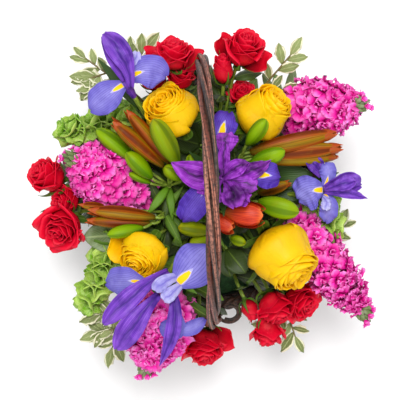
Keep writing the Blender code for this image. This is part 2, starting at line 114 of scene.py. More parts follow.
def petal(controls, width, shape, up, rows=9, cols=7, cup=0.15, ruffle=0.0, waves=3.0, phase=0.0, notch=0.0,
          frill=0.0, crumple=0.0):
    # p(u, v) = mid(v) + side(v) u w(v) + normal(v) lift(u, v), with
    # lift = cup w(v) u^2 + ruffle s(v) u^2 sin(2 pi waves v + phase + 2u), s growing from the foot;
    # mid is a Bezier curve, w half the width by the outline, and notch draws the tip's middle back;
    # frill waves the tip by sin(5u), and crumple adds w sin(11v + 2.5u) cos(5u - 4v)
    v = np.sin(np.linspace(0, 1, rows) * math.pi / 2) * 0.5 + np.linspace(0, 1, rows) * 0.5
    fine = bezier(controls, 60)
    mid = np.stack([np.interp(v, np.linspace(0, 1, 60), fine[:, k]) for k in range(3)], axis=1)
    along = unit(np.gradient(mid, axis=0))
    side = unit(np.cross(along, up))
    normal = np.cross(side, along)
    u = np.linspace(-1, 1, cols)
    half = np.maximum(outline(shapes[shape], v), 0.02) * width / 2
    lift = cup * half[:, None] * u**2
    wave = np.sin(math.tau * waves * v[:, None] + phase + 2 * u)
    lift = lift + ruffle * fade(v, 0.1, 0.5)[:, None] * u**2 * wave
    lift = lift + frill * fade(v, 0.4, 1)[:, None] * np.sin(5 * u + 3 * v[:, None] + phase * 1.7)
    folds = np.sin(11 * v[:, None] + 2.5 * u + phase) * np.cos(5 * u - 4 * v[:, None] + phase)
    lift = lift + crumple * half[:, None] * folds
    back = notch * half.max() * (1 - u**2) * fade(v, 0.8, 1)[:, None]
    flat = mid[:, None] + side[:, None] * (half[:, None] * u)[..., None] - along[:, None] * back[..., None]
    return flat + normal[:, None] * lift[..., None]


def tube(line, radii, sides=8, spin=0.0, ribs=0, ribDepth=0.0):
    # p(a, s) = line(s) + r(s) (1 + ribDepth cos(ribs a)) (cos a first(s) + sin a second(s))
    line = np.asarray(line, float)
    along = unit(np.gradient(line, axis=0))
    first = np.empty_like(along)
    first[0] = unit(np.cross(along[0], [0.31, 0.17, 0.93]))
    for k in range(1, len(line)):  # the first direction is carried along without twisting
        first[k] = unit(first[k - 1] - along[k] * np.dot(first[k - 1], along[k]))
    second = np.cross(along, first)
    angle = np.linspace(0, math.tau, sides, endpoint=False) + spin
    radii = np.broadcast_to(np.asarray(radii, float), len(line))[:, None]
    radii = radii * (1 + ribDepth * np.cos(ribs * angle))
    ring = first[:, None] * np.cos(angle)[:, None] + second[:, None] * np.sin(angle)[:, None]
    return line[:, None] + ring * radii[..., None]


shapes = {
    "fall": [(0, 0.36), (0.2, 0.58), (0.45, 0.93), (0.65, 1), (0.85, 0.88), (0.96, 0.52), (1, 0.2)],
    "round": [(0, 0.34), (0.2, 0.72), (0.5, 1), (0.78, 0.92), (0.93, 0.58), (1, 0.25)],
    "longFall": [(0, 0.4), (0.25, 0.36), (0.48, 0.5), (0.62, 0.86), (0.76, 1), (0.9, 0.84),
                 (0.98, 0.45), (1, 0.2)],
    "standard": [(0, 0.3), (0.3, 0.55), (0.6, 1), (0.82, 0.93), (0.95, 0.55), (1, 0.2)],
    "crest": [(0, 0.5), (0.35, 0.85), (0.7, 1), (0.92, 0.75), (1, 0.4)],
    "point": [(0, 0.4), (0.25, 0.8), (0.5, 1), (0.75, 0.72), (0.92, 0.3), (1, 0.03)],
    "oval": [(0, 0.08), (0.15, 0.5), (0.45, 1), (0.75, 0.8), (0.93, 0.32), (1, 0.04)],
    "lance": [(0, 0.25), (0.2, 0.75), (0.45, 1), (0.75, 0.6), (1, 0.04)],
    "blunt": [(0, 0.12), (0.2, 0.62), (0.5, 1), (0.8, 0.9), (0.95, 0.5), (1, 0.15)],
    "floret": [(0, 0.3), (0.3, 0.74), (0.65, 1), (0.88, 0.92), (1, 0.6)],
    "sepal": [(0, 0.9), (0.3, 1), (0.7, 0.5), (1, 0.05)],
}


class Skin:
    # gathers grids of points into one mesh, each with its finish, its tone and a UV map of (u, v)
    def __init__(self):
        self.points, self.faces, self.uvs, self.tones, self.slots, self.finishes = [], [], [], [], [], []
        self.total = 0

    def add(self, grids, finish, tone=0.5, wrap=False, capped=False):
        grids = np.asarray(grids, float)
        if grids.ndim == 3:
            grids = grids[None]
        count, rows, cols = grids.shape[:3]
        if finish not in self.finishes:
            self.finishes.append(finish)
        slot = self.finishes.index(finish)
        across = cols if wrap else cols - 1
        i, j = np.meshgrid(np.arange(rows - 1), np.arange(across), indexing="ij")
        after = (j + 1) % cols
        quads = np.stack([i * cols + j, i * cols + after, (i + 1) * cols + after, (i + 1) * cols + j], -1)
        us = np.stack([j, j + 1, j + 1, j], -1) / across
        vs = np.stack([i, i, i + 1, i + 1], -1) / (rows - 1)
        corner = np.stack([us, vs], -1)
        starts = self.total + np.arange(count) * rows * cols
        self.keep(quads.reshape(-1, 4), corner.reshape(-1, 4, 2), starts, slot)
        ring = np.arange(cols)
        if capped:
            self.keep(ring[::-1][None], np.full((1, cols, 2), (0.5, 0.0)), starts, slot)
        if capped and capped != "start":
            self.keep(((rows - 1) * cols + ring)[None], np.full((1, cols, 2), (0.5, 1.0)), starts, slot)
        self.points.append(grids.reshape(-1, 3))
        tone = np.asarray(tone, float)
        tone = tone.reshape(tone.shape + (1,) * (3 - tone.ndim))
        self.tones.append(np.broadcast_to(tone, (count, rows, cols)).ravel())
        self.total += count * rows * cols

    def addRod(self, line, radii, finish, tone=0.5, sides=8, spin=0.0, ribs=0, ribDepth=0.0):
        # a tube closed at both ends
        self.add(tube(line, radii, sides, spin, ribs, ribDepth), finish, tone, wrap=True, capped=True)

    def keep(self, polygons, corners, starts, slot):
        self.faces.append((starts[:, None, None] + polygons).reshape(-1, polygons.shape[1]))
        self.uvs.append(np.broadcast_to(corners, (len(starts), *corners.shape)).reshape(-1, 2))
        self.slots.append(np.full(len(self.faces[-1]), slot))

    def build(self, name, thickness=0.0, smoothing=0):
        mesh = bpy.data.meshes.new(name)
        loops = np.concatenate([f.ravel() for f in self.faces])
        sizes = np.concatenate([np.full(len(f), f.shape[1]) for f in self.faces])
        mesh.vertices.add(self.total)
        mesh.vertices.foreach_set("co", np.concatenate(self.points).ravel())
        mesh.loops.add(len(loops))
        mesh.loops.foreach_set("vertex_index", loops)
        mesh.polygons.add(len(sizes))
        mesh.polygons.foreach_set("loop_start", np.concatenate([[0], np.cumsum(sizes)[:-1]]))
        mesh.polygons.foreach_set("material_index", np.concatenate(self.slots))
        mesh.polygons.foreach_set("use_smooth", np.ones(len(sizes), bool))
        mesh.update(calc_edges=True)
        mesh.uv_layers.new(name="surface").data.foreach_set("uv", np.concatenate(self.uvs).ravel())
        mesh.attributes.new("tone", "FLOAT", "POINT").data.foreach_set("value", np.concatenate(self.tones))
        for finish in self.finishes:
            mesh.materials.append(finish)
        piece = bpy.data.objects.new(name, mesh)
        bpy.context.scene.collection.objects.link(piece)
        if smoothing:
            modifier = piece.modifiers.new("smoothing", "SUBSURF")
            modifier.levels = modifier.render_levels = smoothing
        if thickness:
            modifier = piece.modifiers.new("thickness", "SOLIDIFY")
            modifier.thickness, modifier.offset = thickness, 0
        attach(piece, "root")
        return piece


def standFor(node):
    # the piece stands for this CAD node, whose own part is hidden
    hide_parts(node)


# finishes

def colour(red, green, blue):
    # 0 to 255 as seen on a screen, as the linear values that a shader takes
    share = np.array([red, green, blue]) / 255
    linear = np.where(share <= 0.04045, share / 12.92, ((share + 0.055) / 1.055) ** 2.4)
    return (*linear.tolist(), 1.0)


class Link:
    # a socket that takes arithmetic: each operator adds one Math node
    def __init__(self, finish, socket):
        self.finish, self.socket = finish, socket

    def math(self, operation, *values):
        return self.finish.node("ShaderNodeMath", {"operation": operation}, values)

    def __add__(self, other):
        return self.math("ADD", self, other)

    def __sub__(self, other):
        return self.math("SUBTRACT", self, other)

    def __rsub__(self, other):
        return self.math("SUBTRACT", other, self)

    def __mul__(self, other):
        return self.math("MULTIPLY", self, other)

    def __truediv__(self, other):
        return self.math("DIVIDE", self, other)

    def __abs__(self):
        return self.math("ABSOLUTE", self)

    __radd__, __rmul__ = __add__, __mul__

    def sin(self):
        return self.math("SINE", self)

    def ramp(self, low, high):
        settings = {"interpolation_type": "SMOOTHSTEP"}
        values = {"Value": self, "From Min": low, "From Max": high}
        return self.finish.node("ShaderNodeMapRange", settings, values)


class Finish:
    # a Principled material: gloss is how strongly its surface mirrors, and glow the share of light that
    # sinks in, to these depths in metres for red, green and blue
    def __init__(self, name, roughness=0.5, gloss=0.5, glow=0.0, depths=(0.001, 0.001, 0.001)):
        self.material = bpy.data.materials.new(name)
        self.material.use_nodes = True
        self.tree = self.material.node_tree
        self.shader = self.tree.nodes["Principled BSDF"]
        constants = {"Roughness": roughness, "Specular IOR Level": gloss}
        if glow:
            constants["Subsurface Weight"] = glow
            constants["Subsurface Radius"] = depths
            constants["Subsurface Scale"] = 1.0
        for key, value in constants.items():
            self.shader.inputs[key].default_value = value

    def put(self, socket, value):
        if isinstance(value, Link):
            self.tree.links.new(value.socket, socket)
        else:
            socket.default_value = value

    def node(self, kind, settings=None, values=(), output=0):
        node = self.tree.nodes.new(kind)
        for key, value in (settings or {}).items():
            setattr(node, key, value)
        named = values.items() if isinstance(values, dict) else enumerate(values)
        for key, value in named:
            self.put(node.inputs[key], value)
        return Link(self, node.outputs[output])

    def uv(self):
        surface = self.node("ShaderNodeUVMap", {"uv_map": "surface"})
        u = self.node("ShaderNodeSeparateXYZ", None, [surface], "X")
        v = self.node("ShaderNodeSeparateXYZ", None, [surface], "Y")
        return u, v

    def tone(self):
        return self.node("ShaderNodeAttribute", {"attribute_name": "tone"}, (), "Fac")

    def place(self, scale=(1, 1, 1)):
        where = self.node("ShaderNodeTexCoord", None, (), "Object")
        return self.node("ShaderNodeMapping", None, {"Vector": where, "Scale": scale})

    def vector(self, x, y, z=0.0):
        return self.node("ShaderNodeCombineXYZ", None, [x, y, z])

    def noise(self, vector, scale, detail=3.0, roughness=0.55):
        values = {"Vector": vector, "Scale": scale, "Detail": detail, "Roughness": roughness}
        return self.node("ShaderNodeTexNoise", None, values)

    def mix(self, factor, first, second):
        settings = {"data_type": "RGBA", "clamp_factor": True}
        return self.node("ShaderNodeMix", settings, {0: factor, 6: first, 7: second}, 2)

    def bump(self, height, strength, distance):
        values = {"Strength": strength, "Distance": distance, "Height": height}
        self.put(self.shader.inputs["Normal"], self.node("ShaderNodeBump", None, values))

    def done(self, base, roughness=None):
        self.put(self.shader.inputs["Base Color"], base)
        if roughness is not None:
            self.put(self.shader.inputs["Roughness"], roughness)
        return self.material


def rosePetal(name, core, main, bright, shadeAndVeins):
    # from the core's colour to the outer petals', with fine veins; the deeper core is partly the rose's own
    # colour and partly painted shade in the whorl, and each petal has painted shade at its foot and a painted
    # highlight on its lip
    f = Finish(name, 0.5, 0.22, 0.12, (0.004, 0.002, 0.001))
    u, v = f.uv()
    tone = f.tone()
    veins = f.noise(f.vector(u * 26, v * 2.5), 1.0, 2)
    patches = f.noise(f.place(), 55, 3)
    # inner petals take the deeper core colour: partly the rose's own colour, partly painted shade in the
    # whorl
    base = f.mix(tone.ramp(0.05, 0.6), core, main)
    # painted highlight: the upper part of each petal, its lip, lightens towards the bright colour
    base = f.mix(v.ramp(0.55, 1.0) * 0.75, base, bright)
    # painted shade: each petal darkens towards its foot, deep in the bloom
    base = f.mix((1 - v.ramp(0.0, 0.5)) * 0.8, base, shadeAndVeins)
    base = f.mix(veins.ramp(0.5, 0.8) * 0.22, base, shadeAndVeins)
    base = f.mix(patches.ramp(0.5, 0.75) * 0.25, base, bright)
    f.bump(veins * 0.6 + patches * 1.2, 0.5, 0.0012)
    return f.done(base, 0.42 + patches * 0.2)


def irisFall(name, blade, pale, edge, deep):
    # a paler middle that deepens to the edge, fine veins, and a yellow wedge with a thin white flame;
    # the tone tells how far along the petal the wedge sits
    f = Finish(name, 0.5, 0.22, 0.08, (0.003, 0.002, 0.004))
    u, v = f.uv()
    side = u * 2 - 1
    away = abs(side)
    start = f.tone() * 0.4 + 0.04
    beyond = (v - start) / 0.27
    fan = f.noise(f.vector(u * 18 + v * 0.5, v * 1.6), 1.0, 2)
    veins = (side * 46 + fan * 7).sin().ramp(0.35, 1.0)
    patches = f.noise(f.place(), 70, 3)
    base = f.mix(away.ramp(0.05, 0.9), pale, blade)
    base = f.mix(v.ramp(0.75, 1.0) * 0.7, base, edge)
    base = f.mix(patches.ramp(0.4, 0.75) * 0.55, base, edge)
    base = f.mix(veins * 0.42, base, deep)
    base = f.mix((1 - beyond.ramp(-0.5, 0.0)) * 0.6, base, deep)
    taper = 0.4 - beyond * 0.27
    wedge = (away + fan * 0.14) / taper
    inside = (1 - wedge.ramp(0.95, 1.1)) * (1 - beyond.ramp(0.92, 1.0)) * beyond.ramp(-0.08, 0.02)
    flame = (1 - wedge.ramp(1.0, 1.5)) * (1 - beyond.ramp(0.9, 1.5)) * beyond.ramp(-0.1, 0.1)
    base = f.mix(flame * 0.7, base, colour(206, 204, 240))
    base = f.mix(inside, base, colour(250, 196, 0))
    f.bump(veins * 0.5 + patches, 0.4, 0.0006)
    return f.done(base, 0.48 + patches * 0.15)


def irisPlain(name, main, bright, deep):
    # long violet petals: a darker midrib, brighter margins and fine lengthwise veins
    f = Finish(name, 0.45, 0.25, 0.06, (0.003, 0.001, 0.004))
    u, v = f.uv()
    side = u * 2 - 1
    lines = f.noise(f.vector(u * 34, v * 1.3), 1.0, 3)
    patches = f.noise(f.place(), 45, 3)
    base = f.mix(lines.ramp(0.35, 0.7), main, bright)
    crease = abs(side + (f.noise(f.vector(v * 3.2, 0.0), 1.0, 2) - 0.5) * 0.9)
    base = f.mix((1 - crease.ramp(0.0, 0.5)) * 0.55, base, deep)
    base = f.mix((1 - crease.ramp(0.0, 0.12)) * 0.7, base, deep)
    base = f.mix(patches.ramp(0.42, 0.7) * 0.75, base, deep)
    base = f.mix(v.ramp(0.6, 1.0) * 0.4, base, bright)
    f.bump(lines + patches * 0.5, 0.45, 0.0007)
    return f.done(base, 0.4 + lines * 0.15)


def stockPetal(name):
    # bright pink with a painted highlight on the waved edge and painted shade at the foot, each floret a
    # little different
    f = Finish(name, 0.5, 0.25, 0.08, (0.004, 0.001, 0.003))
    u, v = f.uv()
    tone = f.tone()
    veins = f.noise(f.vector(u * 12, v * 2.0), 1.0, 2)
    base = f.mix(tone, colour(208, 0, 132), colour(244, 34, 172))
    # painted highlight: the outer part of each petal pales towards light pink, more so on florets of higher
    # tone
    base = f.mix(v.ramp(0.35, 1.0) * (0.25 + tone * 0.7), base, colour(255, 146, 222))
    # painted shade: each petal darkens towards its foot at the floret's heart
    base = f.mix((1 - v.ramp(0.05, 0.45)) * 0.75, base, colour(158, 0, 84))
    base = f.mix(veins.ramp(0.5, 0.75) * 0.35, base, colour(200, 4, 126))
    f.bump(veins, 0.4, 0.0005)
    return f.done(base, 0.5)


def leafSkin(name, dark, light, vein, gloss=0.35, ribs=16.0, margin=None, bloom=0.0):
    # a pale midrib, side veins that run forward, mottled blade, and for variegated leaves a cream margin
    f = Finish(name, gloss, 0.35)
    u, v = f.uv()
    tone = f.tone()
    away = abs(u * 2 - 1)
    mottle = f.noise(f.place(), 60, 4)
    sideVeins = ((v - away * 0.35) * ribs * math.tau).sin().ramp(0.72, 1.0)
    midrib = 1 - away.ramp(0.02, 0.12)
    base = f.mix(tone * 0.75 + mottle * 0.4, dark, light)
    base = f.mix(sideVeins * 0.35, base, vein)
    base = f.mix(midrib * 0.75, base, vein)
    if margin:
        edge = (away + (mottle - 0.5) * 0.9 + v * v * 0.12).ramp(0.66, 0.8)
        base = f.mix(edge, base, margin)
    if bloom:
        base = f.mix(mottle.ramp(0.45, 0.7) * bloom, base, colour(200, 212, 190))
    f.bump(sideVeins * -0.6 + midrib * 0.8 + mottle * 0.5, 0.5, 0.0006)
    return f.done(base, gloss + mottle * 0.25)


def lilyLeaf(name, dark, light):
    # long leaves whose veins all run lengthwise
    f = Finish(name, 0.38, 0.35)
    u, v = f.uv()
    tone = f.tone()
    lines = (u * 75 + f.noise(f.vector(u * 4, v * 2), 1.0) * 3).sin()
    mottle = f.noise(f.place(), 50, 3)
    base = f.mix(tone * 0.8 + mottle * 0.3, dark, light)
    base = f.mix(lines.ramp(0.3, 1.0) * 0.3, base, light)
    base = f.mix((1 - abs(u * 2 - 1).ramp(0.0, 0.1)) * 0.5, base, light)
    f.bump(lines * 0.4 + mottle * 0.4, 0.4, 0.0005)
    return f.done(base, 0.34 + mottle * 0.2)


def budSkin(name):
    # tone 0 is a green bud, 1 a ripe one: orange-brown flanks, olive ribs and a groove beside each rib
    f = Finish(name, 0.4, 0.14, 0.04, (0.003, 0.002, 0.001))
    u, v = f.uv()
    tone = f.tone()
    ridge = (u * math.tau * 3).sin()
    streaks = f.noise(f.vector(u * 34, v * 1.8), 1.0, 4)
    patches = f.noise(f.place(), 60, 3)
    ribs = (ridge + (streaks - 0.5) * 1.2).ramp(-0.1, 0.8)
    groove = 1 - (ridge + (streaks - 0.5) * 0.8).ramp(-0.9, -0.4)
    green = f.mix(v.ramp(0.0, 1.0), colour(84, 130, 0), colour(122, 156, 0))
    green = f.mix(ribs * 0.3, green, colour(140, 172, 6))
    green = f.mix(groove * 0.55, green, colour(52, 90, 0))
    ripe = f.mix(ribs, colour(146, 66, 4), colour(134, 102, 6))
    ripe = f.mix(streaks.ramp(0.5, 0.66) * 0.5, ripe, colour(182, 104, 16))
    fine = (u * math.tau * 15 + streaks * 7).sin().ramp(0.2, 1.0)
    ripe = f.mix(fine * 0.45, ripe, colour(92, 32, 0))
    ripe = f.mix(groove * 0.75, ripe, colour(80, 22, 0))
    ripe = f.mix(v.ramp(0.88, 1.0) * 0.6, ripe, colour(196, 82, 20))
    ripe = f.mix((1 - v.ramp(0.0, 0.3)) * 0.7, ripe, colour(78, 74, 6))
    base = f.mix(tone, green, ripe)
    base = f.mix(patches.ramp(0.5, 0.8) * 0.25, base, colour(140, 124, 4))
    f.bump(streaks * 0.8 + ribs * 0.6, 0.6, 0.0008)
    return f.done(base, 0.34 + patches * 0.2)


def flameSkin(name, main, heart, lip, foot):
    # an opening orange petal: a darker heart, a paler lip and a greenish foot
    f = Finish(name, 0.42, 0.3, 0.06, (0.003, 0.002, 0.001))
    u, v = f.uv()
    streaks = f.noise(f.vector(u * 20, v * 1.5), 1.0, 3)
    base = f.mix(streaks.ramp(0.35, 0.65), main, heart)
    base = f.mix(v.ramp(0.72, 1.0) * 0.75, base, lip)
    base = f.mix((1 - v.ramp(0.0, 0.3)) * 0.6, base, foot)
    f.bump(streaks, 0.45, 0.0007)
    return f.done(base, 0.4 + streaks * 0.1)


def bellSkin(name):
    # thin green bells with a net of pale veins and painted shade deep in each cup
    f = Finish(name, 0.45, 0.3, 0.06, (0.002, 0.004, 0.001))
    u, v = f.uv()
    tone = f.tone()
    cells = {"Vector": f.vector(u * 16, v * 5), "Scale": 1.0}
    net = f.node("ShaderNodeTexVoronoi", {"feature": "DISTANCE_TO_EDGE"}, cells)
    spokes = (u * math.tau * 10).sin().ramp(0.9, 1.0)
    veins = (1 - net.ramp(0.02, 0.12)) * 0.7
    base = f.mix(tone, colour(104, 158, 0), colour(170, 200, 84))
    # painted shade: each cup darkens towards its foot, inside the bell
    base = f.mix((1 - v.ramp(0.1, 0.8)) * 0.45, base, colour(72, 124, 0))
    base = f.mix(veins * 0.5, base, colour(206, 222, 142))
    base = f.mix(spokes * 0.4, base, colour(186, 208, 120))
    f.bump(veins + spokes, 0.4, 0.0005)
    return f.done(base, 0.42)


def stemSkin(name, dark, light):
    f = Finish(name, 0.42)
    u, v = f.uv()
    lines = f.noise(f.vector(u * 14, v * 9), 1.0, 3)
    mottle = f.noise(f.place(), 90, 3)
    base = f.mix(lines.ramp(0.3, 0.7), dark, light)
    base = f.mix(mottle.ramp(0.55, 0.75) * 0.35, base, colour(150, 150, 70))
    f.bump(lines + mottle, 0.4, 0.0005)
    return f.done(base, 0.4 + mottle * 0.2)


def barkSkin(name, red, grey, paleStreak, dark):
    # willow bark: the tone goes from red-brown to grey rods, with pale streaks and dark wrinkles
    f = Finish(name, 0.5)
    u, v = f.uv()
    tone = f.tone()
    grain = f.noise(f.place((60, 60, 60)), 6.0, 5, 0.6)
    along = f.noise(f.vector(u * 7, v * 46, tone * 9), 1.0, 4, 0.6)
    streaks = f.noise(f.vector(u * 9, v * 5, tone * 23), 1.0, 4, 0.6)
    patches = f.noise(f.vector(u * 3, v * 9, tone * 31), 1.0, 2)
    base = f.mix((tone + (patches - 0.5) * 1.4).ramp(0.35, 0.65), red, grey)
    # pale pinkish streaks along each rod
    base = f.mix(streaks.ramp(0.5, 0.62) * 0.85, base, paleStreak)
    base = f.mix(grain.ramp(0.45, 0.62) * 0.7, base, dark)
    base = f.mix(along.ramp(0.52, 0.64) * 0.8, base, dark)
    f.bump(grain * 0.7 + along * 0.5 + streaks * 0.7, 0.8, 0.0014)
    return f.done(base, 0.42 + grain * 0.3)


def foamSkin(name):
    # wet foam: fine open pores and crumbs
    f = Finish(name, 0.85)
    pores = f.noise(f.place(), 900, 2)
    crumbs = f.noise(f.place(), 160, 5)
    base = f.mix(crumbs.ramp(0.3, 0.7), colour(24, 62, 26), colour(52, 96, 48))
    base = f.mix(pores.ramp(0.5, 0.7) * 0.6, base, colour(12, 34, 14))
    f.bump(crumbs + pores * 0.4, 0.8, 0.002)
    return f.done(base, 0.7 + pores * 0.2)


def linerSkin(name):
    # thin dark plastic, creased
    f = Finish(name, 0.3)
    creases = f.noise(f.place(), 90, 5, 0.7)
    scuffs = f.noise(f.place(), 400, 2)
    base = f.mix(creases.ramp(0.45, 0.7), colour(20, 24, 20), colour(48, 54, 46))
    f.bump(creases + scuffs * 0.2, 0.7, 0.002)
    return f.done(base, 0.22 + scuffs * 0.25)


yellowSkin = rosePetal("yellow_rose_petal", colour(220, 134, 0), colour(234, 180, 0), colour(242, 192, 0),
                       colour(206, 142, 0))
redSkin = rosePetal("red_rose_petal", colour(140, 0, 12), colour(194, 0, 30), colour(224, 6, 50),
                    colour(82, 0, 8))
paleFall = irisFall("iris_fall_lilac", colour(104, 96, 184), colour(130, 124, 200), colour(84, 74, 166),
                    colour(56, 42, 138))
deepFall = irisFall("iris_fall_violet", colour(74, 44, 160), colour(96, 70, 180), colour(60, 22, 128),
                    colour(34, 8, 76))
violetPetal = irisPlain("iris_standard_violet", colour(88, 40, 160), colour(140, 86, 200),
                        colour(44, 16, 108))
purplePetal = irisPlain("iris_standard_purple", colour(120, 32, 156), colour(176, 76, 212), colour(16, 0, 34))
crestPetal = irisPlain("iris_crest", colour(146, 140, 208), colour(190, 188, 226), colour(98, 88, 180))
pinkPetal = stockPetal("stock_petal")
darkLeaf = leafSkin("leaf_dark", colour(18, 30, 4), colour(54, 76, 12), colour(94, 118, 34), 0.34)
midLeaf = leafSkin("leaf_green", colour(36, 68, 8), colour(88, 126, 26), colour(136, 164, 62), 0.4)
sageLeaf = leafSkin("leaf_sage", colour(62, 84, 38), colour(112, 132, 76), colour(156, 172, 116), 0.5,
                    bloom=0.25)
creamLeaf = leafSkin("leaf_variegated", colour(84, 96, 42), colour(140, 152, 92), colour(166, 176, 120), 0.42,
                     6.0, colour(224, 222, 190))
longLeaf = lilyLeaf("leaf_lily", colour(26, 58, 6), colour(96, 140, 22))
strapLeaf = lilyLeaf("leaf_strap", colour(12, 38, 8), colour(62, 96, 26))
lilyBud = budSkin("lily_bud_skin")
flamePetal = flameSkin("alstroemeria_petal", colour(212, 66, 20), colour(164, 26, 8), colour(236, 122, 54),
                       colour(160, 100, 20))
budLip = flameSkin("lily_bud_lip", colour(150, 82, 12), colour(172, 52, 8), colour(214, 92, 34),
                   colour(118, 94, 8))
bellGreen = bellSkin("bell_calyx")
greenStem = stemSkin("stem_green", colour(78, 106, 16), colour(148, 170, 58))
woodStem = stemSkin("stem_woody", colour(82, 66, 38), colour(128, 116, 64))
willowBark = barkSkin("willow_bark", colour(104, 46, 30), colour(54, 44, 40), colour(188, 122, 100),
                      colour(14, 9, 8))
darkBark = barkSkin("willow_dark", colour(70, 40, 28), colour(54, 44, 38), colour(104, 74, 58),
                    colour(20, 14, 12))
wetFoam = foamSkin("foam_wet")
liningPlastic = linerSkin("liner_plastic")
print("finishes ready")


# basket

basketForm = {
    "stakes": 26, "stakeRadius": 2.1, "weaverRadius": 2.35, "rowStep": 4.7, "weave": 1.9,
    "rimStrands": 3, "rimTurns": 26, "baseRings": 20, "spokes": 16, "spokeRadius": 2.0, "footRadius": 104.5,
    "wallInset": 3.5, "linerFoot": 100.4,
}


def ringLine(radius, height, wave=0.0, count=0, phase=0.0, steps=240):
    # a closed ring: r(a) = radius + wave cos(count a + phase), one point short of meeting itself
    a = np.linspace(0, math.tau, steps, endpoint=False)
    r = radius + wave * np.cos(count * a + phase)
    return np.stack([r * np.cos(a), r * np.sin(a), np.full(steps, float(height))], axis=1)


def closedTube(line, radius, sides=8):
    # p(a, s) = line(s) + r (cos a outward(s) - sin a up(s)), for a ring about the basket's axis
    ahead = np.roll(line, -1, axis=0) - np.roll(line, 1, axis=0)
    along = unit(ahead)
    outward = unit(np.cross(along, [0, 0, 1.0]))
    up = np.cross(outward, along)
    a = np.linspace(0, math.tau, sides, endpoint=False)
    ring = outward[:, None] * np.cos(a)[:, None] - up[:, None] * np.sin(a)[:, None]
    grid = line[:, None] + ring * radius
    return np.concatenate([grid, grid[:1]])


def makeWall():
    # rods woven in and out of the stakes, each row the other way from the one below
    low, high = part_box("basket_wall")
    form = basketForm
    bottom, top = low.z / mm, high.z / mm
    bottomRadius, topRadius = form["footRadius"], high.x / mm - form["wallInset"]
    draw = np.random.default_rng(11)
    skin = Skin()
    rows = int((top - bottom) / form["rowStep"])
    for row in range(rows + 1):
        height = bottom + form["weaverRadius"] + row * (top - bottom - 2 * form["weaverRadius"]) / rows
        radius = bottomRadius + (topRadius - bottomRadius) * (height - bottom) / (top - bottom)
        line = ringLine(radius, height, form["weave"], form["stakes"] / 2, math.pi * row)
        line[:, 2] += 0.5 * np.sin(np.arange(len(line)) * 0.37 + row * 2.1)
        ring = closedTube(spot(line), form["weaverRadius"] * mm * draw.uniform(0.86, 1.0))
        skin.add(ring, darkBark, draw.uniform(0, 1), wrap=True)
    for stake in range(form["stakes"]):
        a = math.tau * (stake + 0.5) / form["stakes"]
        heights = np.linspace(bottom, top + 2, 14)
        radius = bottomRadius + (topRadius - bottomRadius) * (heights - bottom) / (top - bottom)
        line = np.stack([radius * math.cos(a), radius * math.sin(a), heights], axis=1)
        skin.addRod(spot(line), form["stakeRadius"] * mm, darkBark, draw.uniform(0, 1))
    piece = skin.build("woven_wall")
    standFor("basket_wall")


def makeRim():
    # three rods that wind round each other:
    # r(a) = rim + s cos(turns a + k) and z(a) = middle + s sin(turns a + k)
    low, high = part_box("basket_rim")
    form = basketForm
    middle = (high.z + low.z) / 2 / mm
    thick = (high.z - low.z) / 2 / mm
    reach = high.x / mm - thick
    strand = thick * 0.5
    draw = np.random.default_rng(12)
    skin = Skin()
    a = np.linspace(0, math.tau, 720, endpoint=False)
    for k in range(form["rimStrands"]):
        turn = form["rimTurns"] * a + math.tau * k / form["rimStrands"]
        r = reach + (thick - strand) * np.cos(turn)
        z = middle + (thick - strand) * np.sin(turn)
        line = np.stack([r * np.cos(a), r * np.sin(a), z], axis=1)
        skin.add(closedTube(spot(line), strand * mm), darkBark, draw.uniform(0.1, 0.9), wrap=True)
    piece = skin.build("twisted_rim")
    standFor("basket_rim")


def makeBase():
    # spokes crossed by rings that rise and dip over them, inside a wound foot ring
    low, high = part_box("basket_base")
    form = basketForm
    reach, thick = high.x / mm, (high.z - low.z) / mm
    draw = np.random.default_rng(13)
    skin = Skin()
    rings = form["baseRings"]
    step = (reach - 12) / rings
    for k in range(rings):
        line = ringLine(6 + step * (k + 0.5), thick / 2, 0, 0, 0, 120)
        a = np.linspace(0, math.tau, 120, endpoint=False)
        line[:, 2] += 1.5 * np.cos(form["spokes"] / 2 * a + math.pi * k)
        skin.add(closedTube(spot(line), step * 0.5 * mm, 6), darkBark, draw.uniform(0, 1), wrap=True)
    for k in range(form["spokes"] // 2):
        a = math.pi * (k + 0.5) / (form["spokes"] / 2)
        r = np.linspace(-reach + 6, reach - 6, 24)
        line = np.stack([r * math.cos(a), r * math.sin(a), np.full(24, thick / 2 + 0.15 * (k - 4))], axis=1)
        skin.addRod(spot(line), form["spokeRadius"] * mm, darkBark, draw.uniform(0, 1), 6)
    a = np.linspace(0, math.tau, 480, endpoint=False)
    for k in range(2):
        turn = 22 * a + math.pi * k
        r, z = reach - 5 + 2.4 * np.cos(turn), thick / 2 + 2.4 * np.sin(turn)
        line = np.stack([r * np.cos(a), r * np.sin(a), z], axis=1)
        skin.add(closedTube(spot(line), 2.6 * mm, 8), darkBark, draw.uniform(0, 1), wrap=True)
    piece = skin.build("woven_base")
    standFor("basket_base")


def makeLiner():
    # a creased lining: r(a, z) = cone + crease(a, z), closed by a floor, its lip a little uneven
    low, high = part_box("liner")
    a = np.linspace(0, math.tau, 180, endpoint=False)
    t = np.linspace(0, 1, 22)[:, None]
    bottom, top = basketForm["linerFoot"], high.x / mm - 0.9
    crease = 0.55 * np.sin(31 * a + 5 * t) * np.sin(13 * a - 3 * t) * fade(t, 0.3, 1)
    r = bottom + (top - bottom) * t + crease
    z = low.z / mm + 0.6 + (high.z - low.z) / mm * t + 1.6 * fade(t, 0.8, 1) * np.sin(9 * a)
    side = np.stack([r * np.cos(a), r * np.sin(a), z], axis=-1)
    floorShare = np.linspace(0.02, 1, 8)[:, None]
    edge = side[0]
    disc = np.stack([edge[:, 0] * floorShare, edge[:, 1] * floorShare, edge[:, 2] + 0 * floorShare], axis=-1)
    skin = Skin()
    skin.add(spot(np.concatenate([disc[:-1], side])), liningPlastic, 0.5, wrap=True, capped="start")
    piece = skin.build("creased_liner", thickness=0.5 * mm)
    standFor("liner")


